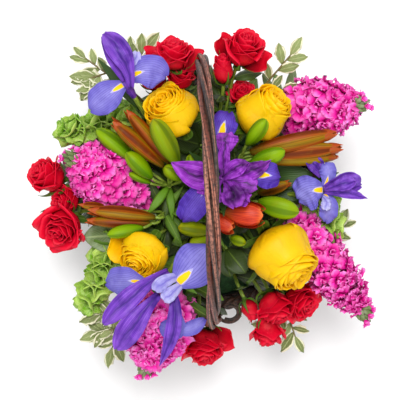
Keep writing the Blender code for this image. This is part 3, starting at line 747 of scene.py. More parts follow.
handleForm = {
    "line": [
        (4, -124, 55), (4, -133.7, 90), (4.5, -149.2, 121), (5, -153, 160), (6, -149, 215),
        (7, -128, 290), (6.5, -85, 355), (5.5, -35, 388), (3.5, 20, 395), (0, 78, 370),
        (-4, 126, 315), (-6, 153, 250), (-6.5, 158.5, 195), (-6.5, 149.2, 121), (-6.5, 133.7, 90),
        (-6.5, 124, 55),
    ],
    "rods": 4, "rodRadius": 3.1, "bundle": 5.2, "core": 2.2, "spacing": 7.4, "turns": 2.25,
    "flat": 0.09, "round": 0.17,
    "startTurn": math.radians(22.5), "steps": 220,
    "tones": [0.15, 0.8, 0.35, 0.6],
}


def makeHandle():
    # rod k turns about the bundle at a(s) = start + tau (k / rods + turns s); near the ends they lie in a row
    form = handleForm
    line = smoothLine(form["line"], form["steps"])
    share = np.linspace(0, 1, form["steps"])
    fromEnd = np.minimum(share, 1 - share)
    middle = (form["flat"] + form["round"]) / 2
    along = unit(np.gradient(line, axis=0))
    outward = unit(np.cross([1.0, 0, 0], along))
    draw = np.random.default_rng(5)
    phases = np.arange(form["rods"])[:, None] / form["rods"]
    ends = np.where(share < 0.5, form["round"], 1 - form["round"])
    endCos = np.cos(form["startTurn"] + math.tau * (phases + form["turns"] * ends))
    ranks = endCos.argsort(axis=0).argsort(axis=0) - (form["rods"] - 1) / 2
    turnShare = np.clip(share, form["round"], 1 - form["round"])
    angle = form["startTurn"] + math.tau * (phases + form["turns"] * turnShare)
    flatten = fade((middle - fromEnd) / (middle - form["flat"]))
    widen = 1 - fade((fromEnd - middle) / (form["round"] - middle))
    for rod in range(form["rods"]):
        roundAcross = form["bundle"] * np.cos(angle[rod])
        across = roundAcross + (ranks[rod] * form["spacing"] - roundAcross) * widen
        out = form["bundle"] * np.sin(angle[rod]) * (1 - flatten)
        path = line + across[:, None] * [1.0, 0, 0] + outward * out[:, None]
        knots = draw.uniform(0, 1, 9)
        bumps = sum(np.exp(-(((share - knot) / 0.004) ** 2)) for knot in knots)
        radii = form["rodRadius"] * (0.93 + 0.035 * np.sin(share * 60 + rod) + 0.13 * bumps)
        skin = Skin()
        skin.addRod(spot(path), radii * mm, willowBark, form["tones"][rod], 14)
        if rod == 0:  # a thin dark rod fills the hollow between the four
            inside = line[(share > form["round"]) & (share < 1 - form["round"])]
            skin.addRod(spot(inside), form["core"] * mm, darkBark, 0.2)
        piece = skin.build(f"handle_willow_{rod + 1}")
        standFor(f"handle_rod_{rod + 1}")


lashingForm = {
    "rows": 6, "strand": 1.3, "margin": 1.2, "tilt": 0.9, "heights": (98, 112),
    "aside": [-23, -18.5, -14.5, 0, 14.5, 18.5, 23],
    "lowReach": [130.8, 136.5, 142.4, 142.4, 142.4, 136.5, 130.8],
    "widening": [4.2, 6, 7.5, 7.5, 7.5, 6, 4.2],
    "middles": {"front": (-1, 4.3), "back": (1, -6.5)},
}


def makeLashings():
    # split willow wound side by side round the rods, each turn following the band's outline
    form = lashingForm
    bottom, top = form["heights"]
    aside = np.array(form["aside"])
    for name, (side, middle) in form["middles"].items():
        node = f"handle_lashing_{name}"
        low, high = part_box(node)
        draw = np.random.default_rng(21)
        skin = Skin()
        heights = np.linspace(low.z / mm + form["margin"], high.z / mm - form["margin"], form["rows"])
        for k, height in enumerate(heights):
            t = (height - bottom) / (top - bottom)
            reach = np.array(form["lowReach"]) + np.array(form["widening"]) * t
            tilt = form["tilt"] * np.sin(aside / 9 + k)
            points = np.stack([middle + aside, side * (reach + 1.1), height + tilt * 0.5], axis=1)
            skin.addRod(spot(smoothLine(points, 60)), form["strand"] * mm, darkBark, draw.uniform(0, 1))
        piece = skin.build(f"willow_lashing_{name}")
        standFor(node)


curlForm = {
    "shift": (-5, 1, 0), "radii": (2.3, 0.8), "flat": 0.9,
    # turns, the angle where it starts, size, how far it climbs, and the bark's tone
    "spirals": [(0.8, -2.6, 1.75, 4.0, 0.25), (0.7, -2.2, 1.3, 7.0, 0.8)],
}


def makeCurls():
    # a loose rod end: a flat spiral that tightens and rises, with a second, smaller one inside it
    low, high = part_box("twig_curl")
    centre = np.array([(low.x + high.x) / 2, (low.y + high.y) / 2, low.z]) / mm
    centre = centre + np.array(curlForm["shift"])
    reach = (high.x - low.x) / 2 / mm
    skin = Skin()
    for turns, start, size, lift, tone in curlForm["spirals"]:
        a = start + np.linspace(0, math.tau * turns, 90)
        t = np.linspace(0, 1, 90)
        r = (reach - 1.6) * size * (1 - 0.35 * t)
        height = 1.8 + lift * t + 1.2 * np.sin(2 * a)
        line = centre + np.stack([r * np.cos(a), r * np.sin(a) * curlForm["flat"], height], axis=1)
        skin.addRod(spot(line), mm * (curlForm["radii"][0] - curlForm["radii"][1] * t), darkBark, tone)
    piece = skin.build("curled_twig")
    standFor("twig_curl")


makeWall()
makeRim()
makeBase()
makeLiner()
makeHandle()
makeLashings()
makeCurls()
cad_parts["foam"].data.materials.clear()
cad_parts["foam"].data.materials.append(wetFoam)
print("basket ready")


# where each flower goes, in millimetres from the middle of the basket's underside

def rose(at, faces, radius, height, spin, **more):
    # its middle, the way it faces, its size and how far round it is turned; guards are loose outer petals
    return {"at": at, "faces": faces, "radius": radius, "height": height, "spin": spin, **more}


yellowRoses = {
    "yellow_rose_upper_left": rose((-43, 98, 243), (-0.42, 0.5, 0.76), 35, 60, 0.4),
    "yellow_rose_upper_right": rose((67, 97, 236), (0.58, 0.56, 0.58), 33, 70, 2.0),
    "yellow_rose_lower_left": rose((-75, -71, 243), (-0.36, -0.54, 0.76), 30, 54, 3.4,
                                   guards=[(math.pi, 1.35)]),
    "yellow_rose_lower_right": rose((91, -74, 232), (0.56, -0.7, 0.46), 41, 80, 5.0),
}
redRoses = {
    "red_rose_top_left": rose((-39, 162, 236), (0.05, 0.8, 0.5), 24, 36, 0.0,
                              guards=[(0.25, 1.5), (2.8, 1.45), (1.5, 1.2)]),
    "red_rose_behind_handle": rose((-31, 139, 218), (0.1, 0.6, 0.7), 19, 34, 1.0),
    "red_rose_under_iris": rose((-62, 138, 198), (-0.3, 0.7, 0.6), 18, 28, 2.0),
    "red_rose_top_right": rose((42, 168, 238), (0.3, 0.7, 0.66), 24, 42, 3.0,
                               guards=[(-0.2, 1.4), (2.4, 1.3)]),
    "red_rose_beside_handle": rose((18, 146, 232), (-0.05, 0.75, 0.62), 14, 38, 4.0),
    "red_rose_low_right": rose((42, 119, 198), (0.05, 0.5, 0.85), 18, 26, 5.0),
    "red_rose_far_left": rose((-188, 23, 200), (-0.6, 0.4, 0.6), 23, 42, 0.5),
    "red_rose_left_bud": rose((-168, -6, 190), (-0.7, -0.1, 0.6), 21, 30, 1.5),
    "red_rose_low_left": rose((-170, -38, 204), (-0.3, -0.5, 0.8), 28, 44, 2.5),
    "red_rose_front": rose((-3, -182, 172), (0.15, -0.85, 0.5), 26, 42, 3.5,
                           guards=[(-0.35, 1.45), (math.pi, 1.15)]),
    "red_bud_by_rim": rose((53, -138, 174), (0.45, -0.8, 0.1), 13, 28, 4.5, leaves=2),
    "red_rose_front_right": rose((82, -134, 186), (0.3, -0.8, 0.42), 25, 40, 5.5, leaves=3),
    "red_rose_right_deep": rose((112, -128, 178), (0.6, -0.45, 0.65), 26, 36, 0.2, leaves=4),
    "red_bud_hanging": rose((74, -163, 170), (0.0, -0.98, 0.12), 20, 40, 1.2, leaves=2),
}

# each petal's kind, its start, middle and tip, all counted from "at", and its width
irises = {
    "iris_top_left": {
        "at": (-92, 126, 270), "faces": (-0.35, 0.55, 0.75), "fall": "pale", "petals": [
            ("fall", (2, 4, 2), (24, 20, 18), (46, 6, -2), 38),
            ("fall", (-2, -2, 2), (-14, -10, 16), (-41, -30, -4), 35),
            ("standard", (6, -6, 4), (8, 24, 32), (-22, 53, 24), 25),
            ("point", (0, 2, 2), (-10, 26, 22), (-26, 50, 14), 17),
            ("crest", (4, 10, 0), (10, 18, 10), (14, 35, 10), 13),
        ],
    },
    "iris_middle": {
        "at": (17, 18, 262), "faces": (0, 0, 1), "fall": "deep", "frill": 1.9, "petals": [
            ("longFall", (2, 8, -6), (-8, 46, 26), (8, 76, 0), 31),
            ("longFall", (6, 2, 0), (34, 8, 22), (66, 2, 2), 31),
            ("fall", (-8, -2, 0), (-24, -18, 24), (-45, -48, -2), 32),
            ("point", (-4, 2, 0), (-24, -2, 20), (-57, 18, 20), 32),
            ("standard", (4, -2, 0), (12, -12, 24), (14, -32, 16), 26),
            ("point", (4, 4, 0), (34, 4, 24), (54, 20, 12), 20),
            ("crest", (3, 30, 10), (4, 42, 22), (5, 53, 14), 28),
            ("crest", (4, 0, 4), (20, -4, 20), (40, -8, 16), 20),
            ("crest", (-4, -2, 4), (-16, -6, 18), (-30, -12, 14), 18),
            ("standard", (6, -2, 0), (20, -18, 10), (30, -26, 4), 20),
            ("point", (2, 4, 6), (0, 24, 16), (5, 44, 14), 14),
            ("point", (0, 2, 2), (16, 14, 22), (30, 18, 20), 20),
            ("standard", (-2, 0, 2), (-12, -16, 18), (-8, -30, 10), 18),
        ],
    },
    "iris_right": {
        "at": (132, 4, 228), "faces": (0.8, 0.1, 0.55), "fall": "pale", "frill": 1.3, "petals": [
            ("fall", (3, 2, 0), (-12, 3, 16), (-27, -9, -2), 42),
            ("fall", (4, 4, 0), (12, 22, 12), (4, 33, 4), 20),
            ("point", (2, 18, -4), (-4, 32, 6), (-21, 46, 2), 19),
            ("fall", (4, -2, 0), (14, -14, 12), (6, -36, -8), 22),
            ("standard", (4, 4, 0), (24, 14, 16), (46, 8, 8), 24),
            ("point", (4, 0, 2), (30, 0, 24), (52, -8, 12), 12),
            ("standard", (4, 2, 2), (20, 8, 22), (38, 12, 20), 16),
            ("crest", (2, -6, 2), (8, -10, 10), (4, -22, 8), 12),
        ],
    },
    "iris_lower_left": {
        "at": (-56, -108, 264), "faces": (-0.4, -0.55, 0.75), "fall": "pale", "petals": [
            ("round", (22, 8, 6), (42, 26, 22), (59, 49, 0), 50),
            ("fall", (-16, 8, 0), (-32, 14, 10), (-60, 8, -16), 32),
            ("fall", (18, -22, -12), (32, -56, -2), (2, -40, -18), 25),
            ("fall", (22, -26, -14), (24, -60, -4), (54, -33, -14), 17),
            ("standard", (12, 22, 0), (-20, 8, 26), (-60, -37, 14), 23),
            ("standard", (2, -4, 2), (-20, -24, 26), (-46, -66, 6), 28),
            ("point", (18, -2, 2), (26, -40, 22), (2, -86, -8), 18),
            ("crest", (25, 16, 6), (6, 14, 20), (-3, 0, 18), 16),
            ("crest", (27, 7, 6), (16, -2, 21), (6, -10, 18), 16),
        ],
    },
}
stocks = {
    "stock_left": {"low": (-84, 2, 180), "high": (-152, 40, 230), "radius": 40, "florets": 74, "spin": 0.0},
    "stock_upper_right": {"low": (98, 98, 190), "high": (174, 106, 218), "radius": 36,
                          "florets": 54, "spin": 1.0},
    "stock_lower_right": {"low": (104, -30, 182), "high": (184, -136, 192), "radius": 30,
                          "florets": 70, "spin": 2.0},
    # the front stock's bright raises its florets' tones towards the paler pinks: painted light, as it stands
    # in the iris's shade
    "stock_front_left": {"low": (-44, -124, 210), "high": (-70, -200, 204), "radius": 36,
                         "florets": 64, "spin": 3.0, "bright": 0.3, "lift": 0.4},
}

# each bud: its base, its tip, its radius, and how ripe it is (0 green, 1 orange)
lilies = {
    "lily_upper_left": {"top": (-44, 11, 214), "buds": [
        ((-50, 33, 240), (-106, 82, 258), 9, 1), ((-34, 36, 258), (-60, 84, 286), 12, 0.2),
        ((-42, 36, 240), (-90, 94, 256), 8.5, 1), ((-64, 20, 238), (-92, 48, 254), 9.5, 0),
        ((-66, 14, 228), (-90, 25, 238), 5, 0), ((-31, 18, 240), (-48, 32, 256), 8, 0.1),
        ((-86, 42, 226), (-128, 76, 232), 10, 0),
    ]},
    "lily_upper_right": {"top": (36, 32, 212), "buds": [
        ((54, 46, 224), (152, 55, 232), 10, 1), ((50, 50, 232), (145, 71, 234), 11, 1),
        ((58, 42, 226), (150, 45, 224), 9, 0.9),
        ((46, 58, 250), (66, 84, 278), 9, 0), ((50, 36, 248), (88, 50, 264), 10, 0),
    ]},
    "lily_left": {"top": (-50, -20, 208), "buds": [
        ((-60, -26, 232), (-132, -18, 240), 8.5, 1), ((-66, -33, 228), (-136, -30, 234), 7.5, 1),
        ((-74, -38, 236), (-114, -46, 248), 7.5, 0), ((-112, -16, 222), (-146, -12, 226), 5.5, 1),
    ]},
    "lily_right": {"top": (38, -16, 208), "buds": [
        ((60, -8, 228), (106, -20, 240), 12, 0.05), ((28, -50, 222), (45, -56, 230), 6, 0.2),
        ((60, 2, 212), (96, 14, 220), 7, 0.9),
    ]},
    "alstroemeria_middle": {"top": (0, -30, 212), "buds": [
        ((2, -42, 238), (-33, -37, 248), 9, 0.3), ((4, -50, 230), (-20, -57, 240), 7.5, 0.25),
        ((-14, 20, 232), (-20, 46, 246), 7, 0.1),
    ]},
}
openFlowers = {
    "lily_right": [
        {"at": (18, -20, 234), "tip": (66, -24, 246), "radius": 14, "petal": 21},
        {"at": (4, -24, 230), "tip": (32, -39, 242), "radius": 10, "petal": 12},
    ],
}
bells = {
    "bells_upper_left": {"low": (-94, 88, 196), "high": (-164, 74, 198), "whorls": 8, "size": 19},
    "bells_lower_left": {"low": (-112, -66, 192), "high": (-138, -122, 190), "whorls": 6, "size": 21},
    "bells_right": {"low": (134, -4, 184), "high": (150, -44, 184), "whorls": 5, "size": 17},
}
sprigs = {
    "pittosporum_top_left": {"low": (-88, 122, 204), "high": (-142, 160, 214),
                             "leaves": 6, "branches": (1, -1, -1),
                             "shoots": [((-100, 126, 206), (-74, 168, 220))]},
    "pittosporum_top_right": {"low": (62, 122, 196), "high": (98, 164, 210), "leaves": 5, "branches": (1,)},
    "pittosporum_lower_left": {"low": (-92, -128, 184), "high": (-114, -184, 166),
                               "leaves": 7, "branches": (1, -1, 1)},
    "pittosporum_right": {"low": (128, -58, 158), "high": (164, -38, 166), "leaves": 4, "branches": ()},
    "pittosporum_lower_right": {"low": (94, -130, 156), "high": (108, -172, 154),
                                "leaves": 5, "branches": (1,)},
}
broadLeaves = {
    "aspidistra_leaf_right": {"low": (58, 20, 190), "high": (124, 24, 210), "width": 30},
    "broad_leaf_top": {"low": (-8, 60, 190), "high": (-40, 68, 222), "width": 30},
    "broad_leaf_left": {"low": (-86, -46, 188), "high": (-146, -50, 202), "width": 38},
    "broad_leaf_front": {"low": (24, -64, 192), "high": (46, -92, 206), "width": 28},
}


def bloomSpheres():
    # rows of (x, y, z, radius) in millimetres that leaves keep away from
    rows = [(*values["at"], values["radius"]) for values in redRoses.values()]
    rows += [(*values["at"], values["radius"] + 7) for values in yellowRoses.values()]
    rows += rows[-len(yellowRoses):]  # counted twice, as these blooms stand clear of every leaf
    for values in irises.values():
        at = np.array(values["at"])
        for kind, start, middle, tip, width in values["petals"]:
            rows.append((*(at + np.array(middle) * 0.5 + np.array(tip) * 0.5), width * 0.55))
    for values in (*stocks.values(), *bells.values()):
        low, high = np.array(values["low"]), np.array(values["high"])
        for share in (0.25, 0.5, 0.75, 1.0):
            rows.append((*(low + (high - low) * share), values.get("radius", 18) * 0.7))
    for values in lilies.values():
        for low, high, radius, ripe in values["buds"]:
            for share in (0.2, 0.5, 0.8):
                rows.append((*(np.array(low) * (1 - share) + np.array(high) * share), radius))
    return np.array(rows, float)


blooms = bloomSpheres()


def crowding(points):
    # how many blooms a leaf's points lie inside of, or over
    points = (np.atleast_2d(points) - basketMiddle) / mm
    away = points[:, None, :2] - blooms[None, :, :2]
    level = np.linalg.norm(away, axis=-1)
    below = points[:, None, 2] < blooms[None, :, 2] - blooms[None, :, 3] * 0.9
    return np.count_nonzero((level < blooms[None, :, 3] + 2) & ~below)


# stems

stemForm = {"depth": 28.0, "bend": 0.25, "steps": 16}


def rootOf(node):
    # the middle of the stem's cut end: the mean of the node's lowest points
    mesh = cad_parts[node].data
    points = np.empty(len(mesh.vertices) * 3)
    mesh.vertices.foreach_get("co", points)
    points = np.unique(points.reshape(-1, 3).round(6), axis=0)
    return points[points[:, 2] < points[:, 2].min() + 5 * mm].mean(axis=0)


def stemLine(node, head, facing, bend=stemForm["bend"]):
    # straight out of the foam, then a Bezier curve that meets the head the way it faces
    root, head, facing = rootOf(node), np.asarray(head, float), unit(facing)
    rise = unit(head - root)
    foot = root + rise * stemForm["depth"] * mm
    reach = np.linalg.norm(head - foot)
    controls = [foot, foot + rise * reach * 0.4, head - facing * reach * bend, head]
    return np.concatenate([root[None], bezier(controls, stemForm["steps"])])


def addStem(skin, line, radius, finish=None):
    skin.addRod(line, radius * mm, finish or greenStem)


# leaves along a stem: sizes in millimetres, the span of the stem they take, and how they rise and droop
leafSprays = {
    "rose": {"count": 8, "length": 36, "width": 20, "shape": "oval", "span": (0.35, 0.85), "droop": 0.35,
             "rise": 0.55, "skins": [darkLeaf, darkLeaf, midLeaf]},
    "irisBlades": {"count": 3, "length": 62, "width": 13, "shape": "lance", "span": (0.35, 0.8), "droop": 0.1,
                   "rise": 1.6, "skins": [longLeaf, strapLeaf]},
    "irisFiller": {"count": 6, "length": 44, "width": 22, "shape": "oval", "span": (0.05, 0.4), "droop": 0.5,
                   "rise": 0.4, "skins": [darkLeaf, darkLeaf, midLeaf]},
    "stock": {"count": 8, "length": 50, "width": 14, "shape": "blunt", "span": (0.4, 0.98), "droop": 0.35,
              "rise": 0.55, "skins": [sageLeaf, midLeaf]},
    "stockFiller": {"count": 6, "length": 44, "width": 22, "shape": "oval", "span": (0.04, 0.4), "droop": 0.6,
                    "rise": 0.3, "skins": [darkLeaf, darkLeaf, midLeaf]},
    "lily": {"count": 18, "length": 44, "width": 11, "shape": "lance", "span": (0.3, 0.99), "droop": 0.3,
             "rise": 0.45, "skins": [longLeaf, midLeaf, darkLeaf]},
    "bells": {"count": 8, "length": 30, "width": 17, "shape": "oval", "span": (0.4, 0.85), "droop": 0.35,
              "rise": 0.55, "skins": [midLeaf, sageLeaf]},
    "bellsFiller": {"count": 9, "length": 46, "width": 24, "shape": "oval", "span": (0.04, 0.5), "droop": 0.6,
                    "rise": 0.3, "skins": [darkLeaf, midLeaf]},
}


def addLeaves(skin, line, kind, draw, count=None):
    # leaves spiral up the stem at the golden angle; each takes the least crowded of six directions
    spray = leafSprays[kind]
    count = count or spray["count"]
    length, width, rise, droop = spray["length"], spray["width"], spray["rise"], spray["droop"]
    start, end = spray["span"]
    for k in range(count):
        share = (start + (end - start) * (k + 0.5) / count) * (len(line) - 1)
        step = min(int(share), len(line) - 2)
        at = line[step] + (line[step + 1] - line[step]) * (share - step)
        along = unit(line[step + 1] - line[step])
        axes = aim(along)
        size = length * draw.uniform(0.75, 1.2) * mm
        turn = k * golden + draw.uniform(-0.4, 0.4)
        best = None
        for trial in range(6):
            a = turn + trial * math.tau / 6
            out = around(axes, a)
            way = unit(out + along * rise + skyward * 0.15)
            tip = at + way * size + skyward * -droop * size + out * size * 0.2
            middle = at + way * size * 0.5 + along * size * 0.12
            crowd = crowding([(at + middle) / 2, middle, (middle + tip) / 2, tip])
            if best is None or crowd < best[0]:
                best = (crowd, middle, tip)
        if best[0] > 1:
            continue
        grid = petal([at, best[1], best[2]], width / length * size, spray["shape"], along + skyward * 0.4,
                     9, 5, cup=-0.2, ruffle=0.06 * width * mm, waves=2.0, phase=draw.uniform(0, 6))
        skins = spray["skins"]
        skin.add(grid, skins[int(draw.integers(len(skins)))], draw.uniform(0.1, 0.9))


def finishGreens(skin, node, thickness=0.35):
    piece = skin.build(f"{node}_greens", thickness=thickness * mm)
    standFor(node)


# roses

roseForms = {
    "cup": {
        "petals": 34, "span": (2.4, 1.55), "belly": (0.06, 0.94),
        "closing": (0.95, 0.66), "flare": (0.0, 0.07),
        "crown": (0.9, 0.12), "drop": (0.16, 0.26), "ripple": 0.075, "point": 0.02, "spiral": 0.05,
        "sepals": (0.7, 0.0),
    },
    "open": {
        "petals": 22, "span": (2.5, 1.1), "belly": (0.07, 0.74),
        "closing": (0.95, 0.92), "flare": (0.0, 0.36),
        "crown": (0.96, 0.26), "drop": (0.18, 0.3), "ripple": 0.08, "point": 0.15, "spiral": 0.05,
        "sepals": (1.15, (0.1, 0.5)),
    },
    "bud": {
        "petals": 15, "span": (2.4, 1.5), "belly": (0.08, 0.86), "closing": (0.8, 0.62), "flare": (0.0, 0.16),
        "crown": (0.97, 0.14), "drop": (0.2, 0.3), "ripple": 0.06, "point": 0.1, "spiral": 0.05,
        "sepals": (1.05, 0.6),
    },
}
roseGrid = {"rows": 13, "cols": 15}


def blend(pair, t):
    return pair[0] + (pair[1] - pair[0]) * t


roseHip = [0.1, 0.15, 0.2, 0.26, 0.3, 0.26]  # the swelling under the bloom, in shares of its radius


def roseHead(form, radius, height, spin, draw):
    # petal i, with t = i / (count - 1), wraps the axis at a = spin + golden i + span(t) u, and v runs up it:
    # r = belly(t) (0.25 + 0.75 sin(pi min(1, 2v) / 2)) (1 - (1 - closing(t)) s(v)) + flare(t) lip(v)
    # + spiral u v + small waves, and z = crown(t) v (1 - drop |u|^2.4) + point exp(-(4u)^2) v^6 t + waves
    count = form["petals"]
    t = np.linspace(0, 1, count)[:, None, None]
    i = np.arange(count)[:, None, None]
    v = np.linspace(0, 1, roseGrid["rows"])[None, :, None]
    u = np.linspace(-1, 1, roseGrid["cols"])[None, None, :]
    wobble = draw.uniform(-1, 1, (count, 5))[:, :, None, None]
    narrow = 0.45 + 0.55 * np.sin(math.pi / 2 * np.minimum(1, v / 0.5))
    a = spin + golden * i + blend(form["span"], t**0.6) * u * narrow + 0.2 * wobble[:, 0]
    belly = radius * blend(form["belly"], t**0.85)
    closing = 1 - (1 - blend(form["closing"], t)) * fade(v, 0.45, 1.0)
    body = belly * (0.25 + 0.75 * np.sin(math.pi / 2 * np.minimum(1, v / 0.5))) * closing
    flare = radius * blend(form["flare"], t**1.4) * (1 + 0.5 * wobble[:, 1])
    lip = np.clip((v - 0.55) / 0.45, 0, 1) ** 2
    waves = np.sin((3.4 + wobble[:, 4]) * u + 3 * wobble[:, 2]) + 0.6 * np.sin(8 * u + 9 * wobble[:, 3])
    ripple = radius * form["ripple"] * waves * v**4 * (0.7 + 0.3 * t)
    r = body + flare * lip + radius * form["spiral"] * u * v + ripple
    r = r + radius * 0.06 * t * np.abs(u) ** 3 * v**2
    crown = height * (form["crown"][0] - form["crown"][1] * t**2)
    z = crown * v * (1 - blend(form["drop"], t) * np.abs(u) ** 2.4) + height * 0.03 * wobble[:, 3] * v
    z = z + height * form["point"] * np.exp(-((4 * u) ** 2)) * v**6 * t
    z = z - height * 0.06 * t**2 * np.clip((v - 0.85) / 0.15, 0, 1) ** 2 + height * 0.012 * waves * v**4
    return np.stack([r * np.cos(a), r * np.sin(a), z + 0 * a], axis=-1)


def makeRose(node, values, finish, kind):
    draw = np.random.default_rng(len(node) * 7 + int(values["spin"] * 10))
    facing, form = unit(values["faces"]), roseForms[kind]
    radius, height = values["radius"] * mm, values["height"] * mm
    base = spot(values["at"]) - facing * height / 2
    turn = aim(facing)
    skin = Skin()
    tones = np.linspace(0, 1, form["petals"]) + draw.uniform(-0.08, 0.08, form["petals"])
    skin.add(base + roseHead(form, radius, height, values["spin"], draw) @ turn, finish, tones)
    for a, reach in values.get("guards", []):  # at angle a as seen from above, out to reach
        level = np.array([math.cos(a), math.sin(a), 0])
        out = unit(level - facing * np.dot(level, facing))
        rises = ((0, 0.25), (0.1, 1.2), (0.5, 0.9), (0.62, reach))
        controls = [base + facing * height * rise + out * radius * aside for rise, aside in rises]
        shape = "blunt" if kind == "cup" else "point"
        grid = petal(controls, radius * 1.15, shape, facing + skyward, 12, 9, 0.25, radius * 0.08, 2.5, a)
        skin.add(grid, finish, 0.95)
    piece = skin.build(f"{node}_bloom", thickness=0.5 * mm)
    standFor(node)
    greens = Skin()
    line = stemLine(node, base, facing)
    addStem(greens, line, 2.1)
    hip = bezier([base - facing * 5 * mm, base - facing * 1 * mm, base + facing * height * 0.12], 6)
    greens.addRod(hip, np.array(roseHip) * radius, midLeaf, 0.5, 10)
    for k in range(5):
        a = values["spin"] + math.tau * k / 5
        out = around(turn, a)
        reach, rise = form["sepals"]
        if kind == "open":  # an open rose's sepals bend back unevenly, so their rise is a range
            rise = draw.uniform(*rise)
        start = base + out * radius * 0.2
        tip = base + out * radius * reach + facing * height * rise
        bend = base + out * radius * 1.0 - facing * height * 0.05
        sepal = petal([start, bend, tip], max(radius * 0.4, 6 * mm), "sepal", facing, 8, 5, 0.3)
        greens.add(sepal, midLeaf, draw.uniform(0.3, 0.9))
    addLeaves(greens, line, "rose", draw, values.get("leaves"))
    finishGreens(greens, node)


for node, values in yellowRoses.items():
    makeRose(node, values, yellowSkin, "cup")
for node, values in redRoses.items():
    makeRose(node, values, redSkin, "bud" if values["radius"] < 16 else "open")
print("roses ready")


# irises

irisFinishes = {
    "pale": {"fall": paleFall, "standard": violetPetal, "crest": crestPetal},
    "deep": {"fall": deepFall, "standard": purplePetal, "crest": purplePetal},
}
irisPetals = {
    # finish, ruffle, cup, tone, notch, frill, crumple
    "fall": ("fall", 1.9, -0.1, 0.0, 0.06, 1.0, 0.05),
    "round": ("fall", 2.1, -0.1, 0.0, 0.05, 1.0, 0.04),
    "longFall": ("fall", 1.9, -0.1, 1.0, 0.06, 1.0, 0.05),
    "standard": ("standard", 1.8, 0.3, 0.5, 0.0, 1.3, 0.2),
    "point": ("standard", 1.6, 0.25, 0.5, 0.0, 0.8, 0.2),
    "crest": ("crest", 1.4, -0.35, 0.5, 0.15, 0.6, 0.05),
}


irisThroat = [3.4, 3.8, 4.4, 5, 5.4, 5.2, 4.6, 3.6]  # radii along the tube that the petals leave


def makeIris(node, values):
    draw = np.random.default_rng(len(node))
    frill = values.get("frill", 1.0)
    centre, facing = spot(values["at"]), unit(values["faces"])
    skins = irisFinishes[values["fall"]]
    skin = Skin()
    for kind, start, middle, tip, width in values["petals"]:
        finish, ruffle, cup, tone, notch, lip, crumple = irisPetals[kind]
        controls = [centre + np.array(p) * mm for p in (start, middle, tip)]
        grid = petal(controls, width * mm, kind, skyward, 20, 13, cup, ruffle * frill * mm, 1.6 + 2.2 * frill,
                     draw.uniform(0, 6), notch, lip * frill * mm, crumple * frill)
        skin.add(grid, skins[finish], tone)
    throat = bezier([centre - facing * 26 * mm, centre - facing * 12 * mm, centre + facing * 2 * mm], 8)
    skin.addRod(throat, np.array(irisThroat) * mm, skins["standard"], 0.5, 12)
    piece = skin.build(f"{node}_flower", thickness=0.45 * mm, smoothing=1)
    standFor(node)
    greens = Skin()
    line = stemLine(node, centre - facing * 24 * mm, facing, 0.1)
    addStem(greens, line, 2.8)
    addLeaves(greens, line, "irisBlades", draw)
    addLeaves(greens, line, "irisFiller", draw)
    finishGreens(greens, node)


for node, values in irises.items():
    makeIris(node, values)
print("irises ready")


# stocks

floretForm = {"outer": 6, "inner": 3, "size": 13.0, "rows": 5, "cols": 6}
stockBud = [0.7, 0.8, 1.6, 2.6, 2.9, 2.0, 0.5]  # radii along a closed bud
spikeProfile = [(0, 0.75), (0.15, 0.95), (0.5, 1), (0.8, 0.82), (0.93, 0.58), (1, 0.35)]


def floretShape(draw):
    # a double floret that faces +Z: six broad waved petals laid open and three smaller ones standing inside
    form = floretForm
    petals = []
    for k in range(form["outer"] + form["inner"]):
        inner = k >= form["outer"]
        a = math.tau * k / form["outer"] + draw.uniform(-0.25, 0.25) if not inner else golden * k
        out = np.array([math.cos(a), math.sin(a), 0])
        lean = math.radians(draw.uniform(40, 75) if inner else draw.uniform(-15, 32))
        size = form["size"] * (0.62 if inner else draw.uniform(0.9, 1.1)) * mm
        way = out * math.cos(lean) + skyward * math.sin(lean)
        curl = np.array([0, 0, draw.uniform(-0.25, 0.1)]) * size
        controls = [out * 0.5 * mm, way * size * 0.6 + skyward * size * 0.2, way * size + curl]
        up = skyward * math.cos(lean) - out * math.sin(lean)
        petals.append(petal(controls, size * 0.98, "floret", up, form["rows"], form["cols"],
                            cup=draw.uniform(-0.15, 0.25), ruffle=size * 0.12, waves=draw.uniform(1, 2),
                            phase=draw.uniform(0, 6), notch=-0.25, frill=size * 0.16, crumple=0.24))
    return np.stack(petals)


